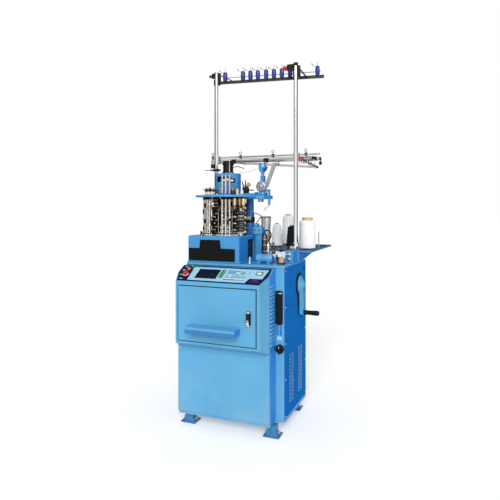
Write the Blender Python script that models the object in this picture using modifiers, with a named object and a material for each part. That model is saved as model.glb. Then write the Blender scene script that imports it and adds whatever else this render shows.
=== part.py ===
"""Circular sock knitting machine: cabinet, console, knitting head, creel and yarn table, in metres, +Z up.

Every place below is measured from the machine's own corner: X from the right edge of the front bay,
Y from the front plane of the cabinet, Z from the floor. One shift then centres the whole machine.
"""

import math

import bmesh
import bpy
from mathutils import Matrix, Vector

# Clearances, and how far a cutter reaches past what it cuts
SEAT = 0.0003
RUN = 0.0005
WELD = 0.00001
REACH = 0.020

# Cabinet
SHEET = 0.003
LEFT = -0.585
RIGHT = 0.056
BACK = 0.445
FLOOR = 0.065
PAN_THICK = 0.020
PAN_SETBACK = 0.010
CABINET_HEIGHT = 0.885
DECK_THICK = 0.015
DECK_EDGE = 0.003
BAY_FRONT = -0.100
BAY_RIGHT = 0.0
FLOOR_TOP = FLOOR + PAN_THICK
DECK_UNDER = FLOOR + CABINET_HEIGHT
DECK_TOP = DECK_UNDER + DECK_THICK
WALL_TOP = DECK_UNDER - SEAT

# Feet
FOOT_LENGTH = 0.095
FOOT_WIDTH = 0.080
FOOT_PLATE = 0.008
FLARE_TOP = 0.030
POST_SIDE = 0.048
FOOT_IN_LEFT = 0.049
FOOT_IN_RIGHT = 0.061
FOOT_IN_FRONT = 0.070
FOOT_IN_BACK = 0.057
FEET = {
    "foot_front_left": (LEFT + FOOT_IN_LEFT, BAY_FRONT + FOOT_IN_FRONT),
    "foot_front_right": (RIGHT - FOOT_IN_RIGHT, BAY_FRONT + FOOT_IN_FRONT),
    "foot_rear_left": (LEFT + FOOT_IN_LEFT, BACK - FOOT_IN_BACK),
    "foot_rear_right": (RIGHT - FOOT_IN_RIGHT, BACK - FOOT_IN_BACK),
}

# Console housing and its sloping top
CONSOLE_REACH = 0.076
FACE_IN_LEFT = 0.026
FACE_IN_RIGHT = 0.029
HOUSING_RISE = 0.411
UNDERCUT = 0.036
HOUSING_DROP = 0.001
SLOPE_RISE = 0.075
SLOPE_RUN = 0.141
FASCIA_THICK = 0.003
FASCIA_MARGIN = 0.008
FACE = BAY_FRONT - CONSOLE_REACH
FACE_LEFT = LEFT + FACE_IN_LEFT
FACE_RIGHT = BAY_RIGHT - FACE_IN_RIGHT
HOUSING_BOTTOM = FLOOR + HOUSING_RISE
FACE_BOTTOM = HOUSING_BOTTOM + UNDERCUT
HOUSING_TOP = DECK_UNDER - HOUSING_DROP
SLOPE_LOW = HOUSING_TOP - SLOPE_RISE
SLOPE_GRADE = SLOPE_RISE / SLOPE_RUN
SLOPE = math.atan(SLOPE_GRADE)
FASCIA_TOP = SEAT + FASCIA_THICK

# Buttons on the slope: in from the left edge, place up the slope, cap radius, cap height, stem radius, travel
BUTTONS = {
    "emergency_stop": (0.063, 0.065, 0.019, 0.018, 0.008, 0.004),
    "stop_button": (0.064, 0.112, 0.011, 0.009, 0.006, 0.003),
    "start_button": (0.076, 0.142, 0.011, 0.009, 0.006, 0.003),
}
STEM_DEPTH = 0.010

# Louvres: cabinet sides and rear, and the cheek of the console housing
LOUVRE_COUNT = 10
LOUVRE_PITCH = 0.033
LOUVRE_WIDTH = 0.075
LOUVRE_HEIGHT = 0.008
LOUVRE_RISE = 0.088
SIDE_COLUMNS = (0.130, 0.310)
REAR_COLUMNS = (-0.400, -0.130)
CHEEK_COUNT = 16
CHEEK_PITCH = 0.022
CHEEK_WIDTH = 0.056
CHEEK_HEIGHT = 0.006
CHEEK_RISE = 0.046
CHEEK_COLUMN = -0.046

# Door, its shelf and its latch
DOOR_IN_LEFT = 0.020
DOOR_IN_RIGHT = 0.025
DOOR_IN_BOTTOM = 0.019
DOOR_IN_TOP = 0.027
DOOR_PROUD = 0.003
DOOR_DEPTH = 0.015
DOOR_SHEET = 0.0025
DOOR_CLEARANCE = 0.0025
HINGE_IN = 0.004
HINGE_PIN = 0.002
HINGE_ROOT = 0.006
SHELF_IN_LEFT = 0.082
SHELF_IN_RIGHT = 0.094
SHELF_RISE = 0.099
SHELF_REACH = 0.075
SHELF_LIP_DROP = 0.018
SHELF_FOOT_DROP = 0.038
LATCH_IN = 0.0415
LATCH_RISE = 0.115
LATCH_WIDTH = 0.027
LATCH_HEIGHT = 0.083
LATCH_PLATE = 0.005
LATCH_CORNER = 0.004
LEVER_WIDTH = 0.019
LEVER_HALF = 0.005
LEVER_DROP = 0.0165
LEVER_LENGTH = 0.056
LEVER_LEAN = 0.002
DOOR_LEFT = FACE_LEFT + DOOR_IN_LEFT
DOOR_RIGHT = FACE_RIGHT - DOOR_IN_RIGHT
DOOR_BOTTOM = FACE_BOTTOM + DOOR_IN_BOTTOM
DOOR_TOP = SLOPE_LOW - DOOR_IN_TOP
DOOR_FRONT = FACE - DOOR_PROUD
HINGE_X = DOOR_LEFT + HINGE_IN
HINGE_Y = DOOR_FRONT + HINGE_IN
SHELF_LEFT = DOOR_LEFT + SHELF_IN_LEFT
SHELF_RIGHT = DOOR_RIGHT - SHELF_IN_RIGHT
SHELF_FRONT = DOOR_FRONT - SHELF_REACH
SHELF_TOP = DOOR_BOTTOM + SHELF_RISE
SHELF_LIP = SHELF_TOP - SHELF_LIP_DROP
SHELF_FOOT = SHELF_TOP - SHELF_FOOT_DROP
LATCH_X = DOOR_RIGHT - LATCH_IN
LATCH_BOTTOM = DOOR_BOTTOM + LATCH_RISE
LATCH_TOP = LATCH_BOTTOM + LATCH_HEIGHT
LEVER_PIVOT_Z = LATCH_TOP - LEVER_DROP

# Front pillar: long recess and round switch
RECESS_IN = 0.024
RECESS_DROP = 0.2239
RECESS_WIDTH = 0.042
RECESS_HEIGHT = 0.195
RECESS_DEPTH = 0.008
RECESS_RIM = 0.004
RECESS_CORNER = 0.012
SWITCH_IN = 0.028
SWITCH_RISE = 0.014
SWITCH_RADIUS = 0.026
SWITCH_HEIGHT = 0.014
SWITCH_EDGE = 0.003
BAR_HALF = 0.006
BAR_FOOT = 0.010
BAR_HEIGHT = 0.028
BAR_EDGE = 0.002
BAR_SHARE = 0.9
RECESS_X = BAY_RIGHT + RECESS_IN
RECESS_Z = WALL_TOP - RECESS_DROP
SWITCH_X = BAY_RIGHT + SWITCH_IN
SWITCH_Z = HOUSING_BOTTOM + SWITCH_RISE

# Hand crank, measured outwards from the right side
CRANK_Y = 0.290
CRANK_DROP = 0.127
CRANK_LENGTH = 0.175
SHAFT_RADIUS = 0.012
SHAFT_LENGTH = 0.166
BEARING_HOLE = 0.020
BEARING_FLANGE = 0.072
BEARING_THICK = 0.004
BEARING_BARREL = 0.012
HUB_BACK = 0.005
HUB_RIM = 0.004
HUB_RADIUS = 0.056
HUB_STEP = 0.007
HUB_WAIST = 0.044
HUB_TOP = 0.028
HUB_CAP = 0.018
HUB_CAP_HEIGHT = 0.004
ARM_BACK = 0.0085
ARM_THICK = 0.0225
ARM_WIDE = 0.024
ARM_NARROW = 0.017
PIN_RADIUS = 0.006
PIN_SHORT = 0.008
GRIP_LENGTH = 0.097
GRIP_RADIUS = 0.0155
GRIP_WAIST = 0.0135
GRIP_NECK = 0.012
GRIP_CROWN = 0.011
GRIP_EDGE = 0.005
GRIP_SWELL = 0.020
GRIP_TAPER = 0.030
GRIP_COLLAR = 0.008
GRIP_CAP = 0.006
CRANK_Z = DECK_UNDER - CRANK_DROP
ARM_OUT = RIGHT + ARM_BACK + ARM_THICK
GRIP_END = ARM_OUT + GRIP_LENGTH

# Drive motor, pulleys and belt
MOTOR_RISE = 0.105
MOTOR_RADIUS = 0.075
MOTOR_LEFT = -0.360
MOTOR_RIGHT = -0.120
MOTOR_SHAFT = 0.010
MOTOR_NOSE = 0.030
NOSE_LENGTH = 0.012
MOTOR_BEVEL = 0.009
MOTOR_SHOULDER = 0.018
FAN_LENGTH = 0.055
FAN_STEP = 0.005
FAN_EDGE = 0.010
MOTOR_FOOT_IN_LEFT = 0.060
MOTOR_FOOT_IN_RIGHT = 0.040
MOTOR_FOOT_HALF = 0.065
MOTOR_FOOT_TOP = 0.050
TERMINAL_IN = 0.080
TERMINAL_HALF = 0.035
TERMINAL_LOW = 0.050
TERMINAL_HIGH = 0.105
PULLEY_X = -0.060
PULLEY_HALF = 0.014
DRIVEN_RADIUS = 0.080
DRIVER_RADIUS = 0.040
RIM_HEIGHT = 0.006
RIM_WIDTH = 0.003
BELT_THICK = 0.004
BELT_WIDTH = 0.020
MOTOR_Z = FLOOR_TOP + MOTOR_RISE

# Control box on the floor pan, and the fabric tube under the deck
CONTROL_IN = 0.020
CONTROL_WIDTH = 0.190
CONTROL_FRONT = 0.150
CONTROL_DEPTH = 0.150
CONTROL_HEIGHT = 0.335
LID_PROUD = 0.005
LID_THICK = 0.008
LID_SINK = 0.006
LID_RISE = 0.012
PASSAGE = 0.052
TUBE_WALL = 0.003
TUBE_FLANGE = 0.023
TUBE_LIP = 0.004
TUBE_LENGTH = 0.330

# Knitting head: base and name panel
AXIS_X = -0.378
AXIS_Y = 0.170
HEAD_IN = 0.011
HEAD_REACH_RIGHT = 0.148
HEAD_REACH_BACK = 0.150
HEAD_HEIGHT = 0.165
HEAD_EDGE = 0.005
LIP_PROUD = 0.006
LIP_HEIGHT = 0.012
WINDOW_DEPTH = 0.030
WINDOW_IN_FRONT = 0.030
WINDOW_LENGTH = 0.110
WINDOW_RISE = 0.019
WINDOW_HEIGHT = 0.120
PANEL_THICK = 0.004
PANEL_IN_LEFT = 0.008
PANEL_IN_RIGHT = 0.026
PANEL_RISE = 0.013
PANEL_LOW = 0.076
PANEL_HIGH = 0.1275
TEE_IN_LEFT = 0.087
TEE_IN_RIGHT = 0.125
TEE_LEAN = 0.006
HEAD_BORE = 0.0592
HEAD_LEFT = LEFT + HEAD_IN
HEAD_RIGHT = AXIS_X + HEAD_REACH_RIGHT
HEAD_BACK = AXIS_Y + HEAD_REACH_BACK
HEAD_TOP = DECK_TOP + HEAD_HEIGHT

# Needle cylinder, cams, selectors, sinker ring; heights are above the head base
CYLINDER_RADIUS = 0.048
CYLINDER_BORE = 0.040
CYLINDER_SUNK = 0.040
CYLINDER_RISE = 0.160
NEEDLE_GROOVES = 48
GROOVE_DEPTH = 0.003
LAND_SHARE = 0.55
GEAR_HEIGHT = 0.018
CAM_GAP = 0.0025
CAM_RADIUS = 0.066
CAM_HEIGHT = 0.085
CAM_WINDOW_LOW = 0.035
CAM_WINDOW_HIGH = 0.065
CAM_WINDOW_HALF = 0.014
BED_RADIUS = 0.118
BED_HEIGHT = 0.016
BLOCK_ANGLES = (200, 250, 320)
BLOCK_IN = 0.076
BLOCK_OUT = 0.112
BLOCK_HALF = 0.024
BLOCK_DROP = 0.0053
SLOT_COUNT = 6
SLOT_RISE = 0.014
SLOT_PITCH = 0.020
SLOT_HEIGHT = 0.010
SLOT_IN = 0.098
SLOT_HALF = 0.018
SINKER_RADIUS = 0.104
SINKER_THICK = 0.012
CYLINDER_BOTTOM = HEAD_TOP - CYLINDER_SUNK
CYLINDER_TOP = HEAD_TOP + CYLINDER_RISE
CAM_BORE = CYLINDER_RADIUS + CAM_GAP
CAM_TOP = HEAD_TOP + CAM_HEIGHT
BED_TOP = HEAD_TOP + BED_HEIGHT
BLOCK_TOP = CYLINDER_TOP - BLOCK_DROP

# Feeder plate with its posts, support column, dial with its drum and motor
PLATE_RISE = 0.238
PLATE_RADIUS = 0.205
PLATE_THICK = 0.012
COLUMN_RIGHT = 0.106
COLUMN_BEHIND = 0.110
COLUMN_RADIUS = 0.025
COLUMN_FOOT_LEFT = 0.020
COLUMN_FOOT_RIGHT = 0.036
COLUMN_FOOT_FRONT = 0.022
COLUMN_FOOT_BACK = 0.030
COLUMN_FOOT_HEIGHT = 0.050
COLUMN_EDGE = 0.003
FLANGE_DROP = 0.012
FLANGE_STEP = 0.001
FLANGE_SIDE = 0.028
FLANGE_AHEAD = 0.030
FLANGE_REACH = 0.253
SADDLE_LEFT = 0.088
SADDLE_RIGHT = 0.190
SADDLE_AHEAD = 0.040
SADDLE_BEHIND = 0.130
SADDLE_RISE = 0.012
POST_CIRCLE = 0.155
POST_RADIUS = 0.006
POST_SINK = 0.004
TALL_POST_RISE = 0.120
POST_ANGLES = (218, 228, 238, 247)
TALL_POST_ANGLES = (281, 289, 298)
DRUM_RADIUS = 0.0815
DRUM_WALL = 0.006
DRUM_HEIGHT = 0.137
DRUM_WINDOW_LEFT = 0.045
DRUM_WINDOW_RIGHT = 0.050
DRUM_WINDOW_LOW = 0.082
DRUM_WINDOW_HIGH = 0.117
DRUM_WINDOW_IN = 0.040
DIAL_GAP = 0.0025
DIAL_RADIUS = 0.046
DIAL_THICK = 0.008
DIAL_SHAFT = 0.011
GEAR_RADIUS = 0.060
GEAR_RISE = 0.086
GEAR_THICK = 0.018
DIAL_MOTOR_RADIUS = 0.0325
DIAL_MOTOR_HEIGHT = 0.083
DIAL_MOTOR_EDGE = 0.005
DIAL_FLANGE_RADIUS = 0.037
DIAL_FLANGE_THICK = 0.012
FINGER_ANGLES = (265, 315)
FINGER_CIRCLE = 0.088
FINGER_WIRE = 0.0025
FINGER_BEND = ((0.0, 0.0, 0.0), (-0.004, 0.0, -0.026), (-0.022, 0.0, -0.046))
KNUCKLE = 0.006
KNUCKLE_HALF = 0.012
PLATE_BOTTOM = HEAD_TOP + PLATE_RISE
PLATE_TOP = PLATE_BOTTOM + PLATE_THICK
COLUMN_X = AXIS_X + COLUMN_RIGHT
COLUMN_Y = AXIS_Y + COLUMN_BEHIND
FLANGE_BOTTOM = PLATE_BOTTOM - FLANGE_DROP
FLANGE_RIGHT = AXIS_X + FLANGE_REACH
DRUM_TOP = PLATE_TOP + DRUM_HEIGHT
DIAL_BOTTOM = CYLINDER_TOP + DIAL_GAP
GEAR_BOTTOM = PLATE_TOP + GEAR_RISE
GEAR_TOP = GEAR_BOTTOM + GEAR_THICK

# Elastic feeder on the plate's flange; heights are above the plate
FEEDER_IN = 0.035
FEEDER_BEHIND = 0.045
FEEDER_HALF = 0.025
FEEDER_DEPTH = 0.022
FEEDER_HEIGHT = 0.019
STEM_HALF = 0.011
STEM_FRONT = 0.012
STEM_LOW = 0.010
STEM_HIGH = 0.122
ARM_HALF = 0.008
ARM_LOW = 0.022
ARM_HIGH = 0.037
ARM_REACH = 0.014
HANGER_IN = 0.003
HANGER_OUT = 0.015
HANGER_HALF = 0.006
HANGER_DROP = 0.060
HANGER_HIGH = 0.035
FORK_THICK = 0.014
FORK = (
    (0.008, 0.115),
    (0.010, 0.142),
    (0.024, 0.160),
    (0.024, 0.205),
    (0.012, 0.205),
    (0.008, 0.180),
)
STRUT_THICK = 0.012
STRUT_BEHIND = 0.014
STRUT_LOW = 0.040
STRUT_LEFT = 0.004
STRUT_WIDTH = 0.016
STRUT_LEAN = 0.062
STRUT_UNDER = 0.024
HOOK_IN = 0.002
HOOK_HALF = 0.006
WHEEL_PIN = 0.005
WHEEL_PIN_LENGTH = 0.035
WHEEL_RADIUS = 0.032
WHEEL_RISE = 0.055
WHEEL_WIDTH = 0.020
WHEEL_RIM = 0.005
WHEEL_GROOVE = 0.005
WHEEL_BEVEL = 0.003
FEEDER_X = FLANGE_RIGHT - FEEDER_IN
FEEDER_Y = AXIS_Y + FEEDER_BEHIND
WHEEL_Z = PLATE_TOP + WHEEL_RISE

# Poles
POLE_RADIUS = 0.0125
POLE_Y = 0.285
POLE_LEFT_IN = 0.057
POLE_RIGHT_IN = 0.020
POLE_TOP = 2.210
POLE_SIDES = 16
POLE_CROWN = 0.010
POLE_EDGE = 0.003
COLLAR_RADIUS = 0.022
COLLAR_HEIGHT = 0.016
LUG_FRONT = 0.170
LUG_BEHIND = 0.027
LUG_HEIGHT = 0.073
LUG_ROUND_BACK = 0.020
LUG_ROUND_FRONT = 0.035
LUG_WIDTH = 0.050
LUG_IN = 0.028
POLE_BORE = POLE_RADIUS + SEAT
POLE_LEFT_X = HEAD_LEFT + POLE_LEFT_IN
POLE_RIGHT_X = RIGHT - POLE_RIGHT_IN

# Clamps behind the poles
BAR_GAP = 0.001
CLAMP_HALF = 0.018
CLAMP_AHEAD = 0.003
BAR_PLANE = POLE_Y + POLE_RADIUS + BAR_GAP

# Creel bar with its tension units, turned a little in plan from the left pole; alarm lamp
CREEL_DROP = 0.069
CREEL_TURN = math.radians(7.6)
CREEL_HALF = 0.009
CREEL_DEPTH = 0.0154
CREEL_START = 0.010
CREEL_END = 0.190
CREEL_CLAMP = 0.018
CREEL_ARM = 0.007
UNIT_PLACES = (0.053, 0.1765, 0.2275, 0.278, 0.334, 0.3865, 0.439, 0.493, 0.671)
UNIT_HALF = 0.011
UNIT_DEPTH = 0.024
UNIT_LOW = 0.004
UNIT_HIGH = 0.066
LAMP_WIDTH = 0.040
LAMP_HALF = 0.019
LAMP_HEIGHT = 0.037
LAMP_DROP = 0.045
LENS_RADIUS = 0.013
LENS_LENGTH = 0.028
LENS_EDGE = 0.005
LENS_SINK = 0.002
CREEL_Z = POLE_TOP - CREEL_DROP
CREEL_Y = BAR_PLANE + CREEL_DEPTH / 2
CREEL_SPAN = CREEL_END - POLE_LEFT_X - CREEL_DEPTH / 2 * math.sin(CREEL_TURN)
CREEL_LENGTH = CREEL_SPAN / math.cos(CREEL_TURN)

# Yarn guide frame: main tube, thin tube over it, slanted tube and arm to the back
GUIDE_RISE = 0.228
GUIDE_RADIUS = 0.011
GUIDE_OUT_LEFT = 0.043
GUIDE_OUT_RIGHT = 0.150
GUIDE_LIFT = 0.029
GUIDE_THIN = 0.006
GUIDE_ARM = 0.008
GUIDE_ARM_OUT = 0.027
GUIDE_ARM_SWAY = 0.009
GUIDE_BACK = 0.770
GUIDE_SAG = 0.016
GUIDE_BRACE_IN = 0.057
GUIDE_CLAMP_LOW = 0.014
GUIDE_CLAMP_HIGH = 0.009
GUIDE_CLAMP_DEPTH = 0.014
GUIDE_Z = PLATE_TOP + GUIDE_RISE
GUIDE_Y = BAR_PLANE + GUIDE_RADIUS

# Yarn table
TABLE_LEFT = -0.360
TABLE_RIGHT = 0.125
TABLE_OVER = 0.120
TABLE_BACK = 0.900
TABLE_RISE = 0.053
TABLE_THICK = 0.012
TABLE_FEET = (-0.280, 0.010)
TABLE_FOOT_HALF = 0.020
TABLE_FOOT_IN = 0.005
TABLE_SINK = 0.004
GUSSET_THICK = 0.004
GUSSET_IN = 0.011
GUSSET_FRONT = 0.010
GUSSET_SHORT = 0.030
GUSSET_OUT = 0.020
GUSSET_CLEAR = 0.002
SPINDLE_RADIUS = 0.004
SPINDLE_HEIGHT = 0.110
SPINDLE_SINK = 0.006
SPARE_SPINDLE = (0.100, 0.620)
TABLE_FRONT = BACK - TABLE_OVER
TABLE_UNDER = DECK_TOP + TABLE_RISE
TABLE_TOP = TABLE_UNDER + TABLE_THICK

# Yarn packages: place, foot radius, top radius, height
PACKAGES = {
    "yarn_spool_white": (0.060, 0.470, 0.0545, 0.0545, 0.208),
    "yarn_cone_black": (-0.076, 0.580, 0.045, 0.033, 0.150),
    "yarn_cone_large": (-0.190, 0.840, 0.0525, 0.040, 0.222),
    "yarn_cone_small": (-0.205, 0.625, 0.0425, 0.030, 0.162),
    "yarn_can_grey": (-0.310, 0.687, 0.030, 0.0375, 0.208),
}
TUBE_NECK = 0.018
NECK_HEIGHT = 0.018
SHOULDER = 0.008
TUBE_FOOT = 0.021
FOOT_GAP = 0.004
FOOT_ROUND = 0.008
FOOT_BEVEL = 0.006
SPINDLE_SPARE = 0.003

SHIFT = Vector((-(LEFT + CREEL_END) / 2, -(SHELF_FRONT + TABLE_BACK) / 2, 0.0))

# Directions of turned and flat pieces
UPRIGHT = (0.0, 0.0, 0.0)
ALONG_X = (0.0, math.pi / 2, 0.0)
TO_LEFT = (0.0, -math.pi / 2, 0.0)
TO_FRONT = (math.pi / 2, 0.0, 0.0)
SIDE_ON = (math.pi / 2, 0.0, math.pi / 2)
FRONT_ON = (math.pi / 2, 0.0, 0.0)
ON_SLOPE = (SLOPE, 0.0, 0.0)


for thing in list(bpy.data.objects):
    bpy.data.objects.remove(thing, do_unlink=True)


def group(name):
    made = bpy.data.collections.new(name)
    bpy.context.scene.collection.children.link(made)
    return made


PARTS = group("circular_knitting_machine")
CUTTERS = group("cutters")


def paint(name, colour, roughness, metallic=0.0):
    material = bpy.data.materials.new(name)
    material.use_nodes = True
    shader = material.node_tree.nodes["Principled BSDF"]
    shader.inputs["Base Color"].default_value = (*colour, 1.0)
    shader.inputs["Roughness"].default_value = roughness
    shader.inputs["Metallic"].default_value = metallic
    return material


LIGHT_BLUE = paint("light_blue_paint", (0.16, 0.47, 0.78), 0.35)
STEEL = paint("bright_steel", (0.75, 0.75, 0.76), 0.22, 1.0)
DARK_STEEL = paint("dark_steel", (0.10, 0.10, 0.11), 0.40, 1.0)
BLACK = paint("black_plastic", (0.012, 0.012, 0.014), 0.40)
BLACK_METAL = paint("black_paint", (0.015, 0.015, 0.017), 0.45)
FASCIA_FILM = paint("fascia_film", (0.38, 0.65, 0.83), 0.30)
RED = paint("red_plastic", (0.52, 0.01, 0.012), 0.30)
ORANGE = paint("orange_plastic", (0.80, 0.22, 0.02), 0.30)
GREEN = paint("green_plastic", (0.02, 0.40, 0.10), 0.30)
GREY = paint("grey_aluminium", (0.45, 0.46, 0.47), 0.40, 1.0)
RUBBER = paint("belt_rubber", (0.02, 0.02, 0.02), 0.80)
TABLE_PAINT = paint("table_paint", (0.03, 0.05, 0.09), 0.40)
YARN_WHITE = paint("white_yarn", (0.86, 0.86, 0.88), 0.90)
YARN_BLACK = paint("black_yarn", (0.012, 0.010, 0.014), 0.90)
YARN_GREY = paint("grey_yarn", (0.30, 0.30, 0.31), 0.90)


def add(name, mesh, place, material, turn=UPRIGHT):
    piece = bpy.data.objects.new(name, mesh)
    piece.location = Vector(place) + SHIFT
    piece.rotation_euler = turn
    if material is None:
        CUTTERS.objects.link(piece)
        piece.hide_render = True
        piece.display_type = "WIRE"
    else:
        PARTS.objects.link(piece)
        mesh.materials.append(material)
    return piece


def boxes(name, corners, material=None, origin=None):
    """One or more boxes, each given by its lowest and highest corner."""
    place = Vector(origin) if origin else (Vector(corners[0][0]) + Vector(corners[0][1])) / 2
    shape = bmesh.new()
    for low, high in corners:
        size = Vector(high) - Vector(low)
        middle = (Vector(high) + Vector(low)) / 2 - place
        move = Matrix.Translation(middle) @ Matrix.Diagonal((*size, 1.0))
        bmesh.ops.create_cube(shape, size=1.0, matrix=move)
    mesh = bpy.data.meshes.new(name)
    shape.to_mesh(mesh)
    shape.free()
    return add(name, mesh, place, material)


def box(name, low, high, material=None, origin=None):
    return boxes(name, [(low, high)], material, origin)


def turned(name, profile, place, material=None, turn=UPRIGHT, steps=24, ring=False):
    """A profile of (radius, height) points, outer side from top to bottom, turned about its own Z."""
    count = len(profile)
    edges = [(index, index + 1) for index in range(count - 1)]
    if ring:
        edges.append((count - 1, 0))
    mesh = bpy.data.meshes.new(name)
    mesh.from_pydata([(radius, 0.0, height) for radius, height in profile], edges, [])
    piece = add(name, mesh, place, material, turn)
    screw = piece.modifiers.new("turn", "SCREW")
    screw.steps = steps
    screw.render_steps = steps
    screw.use_merge_vertices = True
    screw.merge_threshold = 0.0001
    return piece


def rod(name, radius, low, high, place, material=None, turn=UPRIGHT, steps=16):
    profile = [(0.0, high), (radius, high), (radius, low), (0.0, low)]
    return turned(name, profile, place, material, turn, steps)


def drawn_mesh(name, curve):
    """The solid that a curve draws, as a mesh with its caps welded on."""
    sketch = bpy.data.objects.new(name + "_sketch", curve)
    bpy.context.scene.collection.objects.link(sketch)
    bpy.context.view_layer.update()
    graph = bpy.context.evaluated_depsgraph_get()
    mesh = bpy.data.meshes.new_from_object(sketch.evaluated_get(graph))
    bpy.data.objects.remove(sketch)
    shape = bmesh.new()
    shape.from_mesh(mesh)
    bmesh.ops.remove_doubles(shape, verts=shape.verts, dist=WELD)
    bmesh.ops.recalc_face_normals(shape, faces=shape.faces)
    shape.to_mesh(mesh)
    shape.free()
    mesh.name = name
    return mesh


def plate(name, outline, thickness, place, material=None, turn=UPRIGHT, holes=()):
    """A flat outline given its thickness, half on each side of its own plane."""
    curve = bpy.data.curves.new(name, "CURVE")
    curve.dimensions = "2D"
    curve.fill_mode = "BOTH"
    curve.extrude = thickness / 2
    for loop in (outline, *holes):
        spline = curve.splines.new("POLY")
        spline.points.add(len(loop) - 1)
        for point, (across, along) in zip(spline.points, loop):
            point.co = (across, along, 0.0, 1.0)
        spline.use_cyclic_u = True
    return add(name, drawn_mesh(name, curve), place, material, turn)


def tube(name, path, radius, material=None, origin=None):
    place = Vector(origin) if origin else Vector(path[0])
    curve = bpy.data.curves.new(name, "CURVE")
    curve.dimensions = "3D"
    curve.bevel_depth = radius
    curve.bevel_resolution = 2
    curve.use_fill_caps = True
    spline = curve.splines.new("POLY")
    spline.points.add(len(path) - 1)
    for point, corner in zip(spline.points, path):
        point.co = (*(Vector(corner) - place), 1.0)
    return add(name, drawn_mesh(name, curve), place, material)


def combine(piece, others, operation):
    for other in others:
        step = piece.modifiers.new(operation.lower(), "BOOLEAN")
        step.operation = operation
        step.solver = "EXACT"
        step.object = other
    return piece


def fuse(piece, *others):
    return combine(piece, others, "UNION")


def cut(piece, *others):
    return combine(piece, others, "DIFFERENCE")


def soften(piece, width, segments=1):
    edge = piece.modifiers.new("soften", "BEVEL")
    edge.width = width
    edge.segments = segments
    edge.limit_method = "ANGLE"
    edge.angle_limit = math.radians(40)
    return piece


def arc(centre, radius, start, end, steps):
    """Points on an arc, angles in degrees."""
    points = []
    for index in range(steps + 1):
        angle = math.radians(start + (end - start) * index / steps)
        points.append((centre[0] + radius * math.cos(angle), centre[1] + radius * math.sin(angle)))
    return points


def rounded(width, height, radius, steps=4):
    """A rounded rectangle about its own middle."""
    across = width / 2 - radius
    along = height / 2 - radius
    outline = []
    for index, (sign_x, sign_y) in enumerate(((1, 1), (-1, 1), (-1, -1), (1, -1))):
        outline += arc((sign_x * across, sign_y * along), radius, 90 * index, 90 * index + 90, steps)
    return outline


def on_slope(across, up, above):
    """A point of the console's slope, with its height above the slope."""
    forward = FACE + up * math.cos(SLOPE) - above * math.sin(SLOPE)
    height = SLOPE_LOW + up * math.sin(SLOPE) + above * math.cos(SLOPE)
    return (across, forward, height)


def about_axis(radius, angle, height):
    """A point round the knitting axis, angle in degrees from +X."""
    turn = math.radians(angle)
    return (AXIS_X + radius * math.cos(turn), AXIS_Y + radius * math.sin(turn), height)


def louvres(name, columns, low, high, axis, bottom=FLOOR + LOUVRE_RISE, count=LOUVRE_COUNT):
    """One cutter with columns of slots; low and high are its limits through the sheet."""
    cheek = count == CHEEK_COUNT
    width = CHEEK_WIDTH if cheek else LOUVRE_WIDTH
    height = CHEEK_HEIGHT if cheek else LOUVRE_HEIGHT
    pitch = CHEEK_PITCH if cheek else LOUVRE_PITCH
    slots = []
    for middle in columns:
        start = middle - width / 2
        end = middle + width / 2
        for index in range(count):
            foot = bottom + index * pitch
            if axis == "Y":
                slots.append(((low, start, foot), (high, end, foot + height)))
            else:
                slots.append(((start, low, foot), (end, high, foot + height)))
    return boxes(name, slots)


def make_feet():
    half_x = FOOT_LENGTH / 2
    half_y = FOOT_WIDTH / 2
    half = POST_SIDE / 2
    squeeze = (half_y - FOOT_PLATE) / (half_x - FOOT_PLATE)
    for name, (x, y) in FEET.items():
        foot = box(name, (x - half_x, y - half_y, 0.0), (x + half_x, y + half_y, FOOT_PLATE), LIGHT_BLUE)
        post = box(name + "_post", (x - half, y - half, FOOT_PLATE / 2), (x + half, y + half, FLOOR - SEAT))
        shape = bmesh.new()
        bmesh.ops.create_cone(
            shape,
            cap_ends=True,
            segments=4,
            radius1=(half_x - FOOT_PLATE) * math.sqrt(2),
            radius2=half * math.sqrt(2) + WELD,
            depth=FLARE_TOP - FOOT_PLATE / 2,
            matrix=Matrix.Rotation(math.pi / 4, 4, "Z"),
        )
        bmesh.ops.scale(shape, vec=(1.0, squeeze, 1.0), verts=shape.verts)
        mesh = bpy.data.meshes.new(name + "_flare")
        shape.to_mesh(mesh)
        shape.free()
        flare = add(name + "_flare", mesh, (x, y, (FLARE_TOP + FOOT_PLATE / 2) / 2), None)
        fuse(foot, flare, post)


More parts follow.
